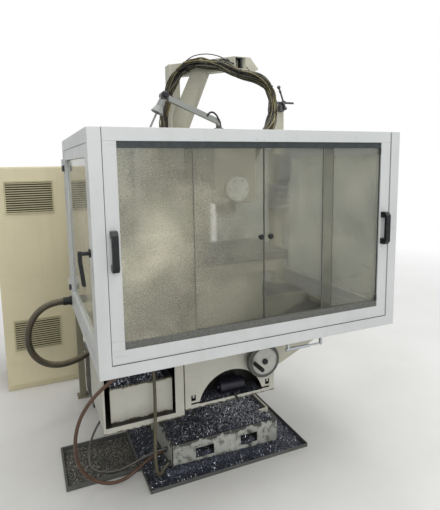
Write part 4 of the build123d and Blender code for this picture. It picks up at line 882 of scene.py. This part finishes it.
# Directions, counts, places in metres and a knob's shape in millimetres.
LEFT = (-1, 0, 0)
FRONT = (0, -1, 0)
BOLTS = 6
BOLT_RING = 0.046
BOLT_Y = -0.9362
COVER = (0, -0.932, 1.472)
KNOB_ROWS = 4
KNOB_COLUMNS = 3
KNOB_ACROSS = 0.036
KNOB_UP = 0.042
KNOBS_MIDDLE = (0.675, -0.2158, 1.359)
KNOB_RADIUS = 12
KNOB_SHAPE = [(KNOB_RADIUS + 1 + KNOB_RADIUS * math.sin(turn), KNOB_RADIUS * math.cos(turn))
              for turn in np.linspace(-1.5, 1.5, 9)]

fitting("coolant_base_nut", "dark_steel", "machine_base", (-0.3162, -0.660, 0.062), LEFT,
        (0, 13), (9, 13), (9, 10.5), (24, 10.5))
fitting("drain_base_nut", "dark_steel", "machine_base", (-0.3162, -0.694, 0.092), LEFT,
        (0, 10), (7, 10), (7, 8), (20, 8))
fitting("air_base_nut", "dark_steel", "machine_base", (-0.3162, -0.7425, 0.0438), (-1, -0.45, -0.09),
        (2, 11), (9, 11), (9, 9.5), (20, 9.5))
fitting("conduit_base_flange", "dark_steel", "machine_base", (-0.2152, 0.130, 0.450), LEFT,
        (0, 34), (7, 34), (7, 27), (30, 27), (30, 24), (36, 24))
fitting("head_cover_plate", "cover_white", "milling_head", COVER, FRONT,
        (0.2, 57), (2.5, 57), (4, 55), (4, 20), (7, 18))
for k in range(BOLTS):
    turn = k * math.tau / BOLTS
    fitting(f"cover_bolt_{k + 1}", "bare_steel", "milling_head",
            (BOLT_RING * math.cos(turn), BOLT_Y, COVER[2] + BOLT_RING * math.sin(turn)), FRONT,
            (0, 5), (4, 5), (5, 4))
fitting("spindle_nose_ring", "bare_steel", "spindle_unit", (0, -0.785, 1.3298), (0, 0, -1),
        (0, 42), (3, 42), (5, 38), (5, 24), (0.5, 24))
for row in range(KNOB_ROWS):
    for column in range(KNOB_COLUMNS):
        x = KNOBS_MIDDLE[0] + KNOB_ACROSS * (column - (KNOB_COLUMNS - 1) / 2)
        z = KNOBS_MIDDLE[2] + KNOB_UP * (row - (KNOB_ROWS - 1) / 2)
        fitting(f"unit_knob_{row * KNOB_COLUMNS + column + 1}", "bare_steel", "knee",
                (x, KNOBS_MIDDLE[1], z), FRONT, *KNOB_SHAPE)
fitting("elbow_knob", "black_plastic", "lamp_head_body", (-0.262, -0.6703, 1.930), FRONT,
        (0, 15), (10, 15), (13, 12))
fitting("arm_base_collar", "black_plastic", "ram_slide_body", (0.037, -0.625, 1.7702), (0, 0, 1),
        (0, 27), (5, 27), (7.6, 24.5), (7.6, 24.2))
small_cord("lamp_lead", "ram_slide_body", 0.0048, 8, [
    (0.052, -0.622, 1.772), (0.047, -0.634, 1.791), (0.032, -0.640, 1.822), (0.020, -0.640, 1.845),
    (-0.002, -0.640, 1.860), (-0.024, -0.6385, 1.852), (-0.032, -0.637, 1.836)])
boxes("door_sill_seal", "rubber_seal", "knee", "black_plastic", (-651, 741, -1131, -1128.3, 800.1, 802.3))


def area(name, place, aim, size, power, tone):
    """A rectangular light at a place, turned to what it aims at."""
    data = bpy.data.lights.new(name, "AREA")
    data.shape = "RECTANGLE"
    data.size, data.size_y = size
    data.energy = power
    data.color = tone
    lamp = bpy.data.objects.new(name, data)
    bpy.context.scene.collection.objects.link(lamp)
    lamp.location = place
    lamp.rotation_euler = (Vector(aim) - Vector(place)).to_track_quat("-Z", "Y").to_euler()


area("roof_light", (0.4, -0.8, 5.2), (0.0, -0.3, 0.8), (4.5, 4.5), 190, (0.98, 0.99, 1.0))
area("front_light", (-0.6, -5.6, 2.9), (0.0, -0.6, 1.0), (3.0, 3.0), 95, (1.0, 0.995, 0.98))
area("right_light", (3.8, -2.0, 2.8), (0.2, -0.6, 1.1), (2.5, 2.5), 30, (0.97, 0.98, 1.0))

# Colour and strength of the light round the object, and of the background that is seen.
AMBIENT = ((0.97, 0.985, 1.0, 1), 0.42)
BACKGROUND = ((1, 1, 1, 1), 1.0)

world = bpy.data.worlds.new("world")
bpy.context.scene.world = world
world.use_nodes = True
sky = world.node_tree
sky.nodes.clear()
rays = sky.nodes.new("ShaderNodeLightPath")
seen = rays.outputs["Is Camera Ray"]
for ray_kind in ("Is Glossy Ray", "Is Transmission Ray"):
    larger = sky.nodes.new("ShaderNodeMath")
    larger.operation = "MAXIMUM"
    sky.links.new(seen, larger.inputs[0])
    sky.links.new(rays.outputs[ray_kind], larger.inputs[1])
    seen = larger.outputs[0]
either = sky.nodes.new("ShaderNodeMixShader")
sky.links.new(seen, either.inputs[0])
for socket, (tone, strength) in zip(either.inputs[1:3], (AMBIENT, BACKGROUND)):
    shine = sky.nodes.new("ShaderNodeBackground")
    shine.inputs[0].default_value = tone
    shine.inputs[1].default_value = strength
    sky.links.new(shine.outputs[0], socket)
final = sky.nodes.new("ShaderNodeOutputWorld")
sky.links.new(either.outputs[0], final.inputs[0])


# Distances from the middle at which the floor starts to fade and has faded to white.
FADE = (1.6, 6.5)


def floor_finish():
    """Pale, smooth concrete that fades to the white background far from the object."""
    f = Finish("floor_finish")
    tone = f.mix(f.noise(1.3, 0.3, 0.7, 5), (0.66, 0.65, 0.62), (0.74, 0.735, 0.71))
    tone = f.mix(f.product(f.noise(45, 0.55, 0.8, 6), 0.12), tone, (0.45, 0.44, 0.41))
    f.colour(tone)
    f.rough(f.span(f.noise(8, 0.2, 0.8, 4), 0, 1, 0.45, 0.65))
    far = f.add("ShaderNodeVectorMath", operation="LENGTH")
    f.put(far.inputs[0], f.coords)
    fade = f.span(far.outputs["Value"], *FADE)
    fade = f.math("POWER", fade, 0.7)
    glow = f.add("ShaderNodeEmission", {"Color": (1, 1, 1, 1), "Strength": 1.0})
    ray = f.add("ShaderNodeLightPath")
    shown = f.math("MAXIMUM", ray.outputs["Is Camera Ray"], ray.outputs["Is Glossy Ray"])
    shown = f.math("MAXIMUM", shown, ray.outputs["Is Transmission Ray"])
    both = f.add("ShaderNodeMixShader", {0: f.product(fade, shown), 1: f.shader.outputs[0],
                                         2: glow.outputs[0]})
    f.put(f.output.inputs["Surface"], both.outputs[0])
    return f.material


FLOOR_REACH = 40
FLOOR_Z = -0.0005
corners = [(x * FLOOR_REACH, y * FLOOR_REACH, FLOOR_Z) for x, y in ((-1, -1), (1, -1), (1, 1), (-1, 1))]
floor = solid("studio_floor", corners, [(0, 1, 2, 3)], [floor_finish()])

bpy.context.scene.view_settings.view_transform = "Standard"
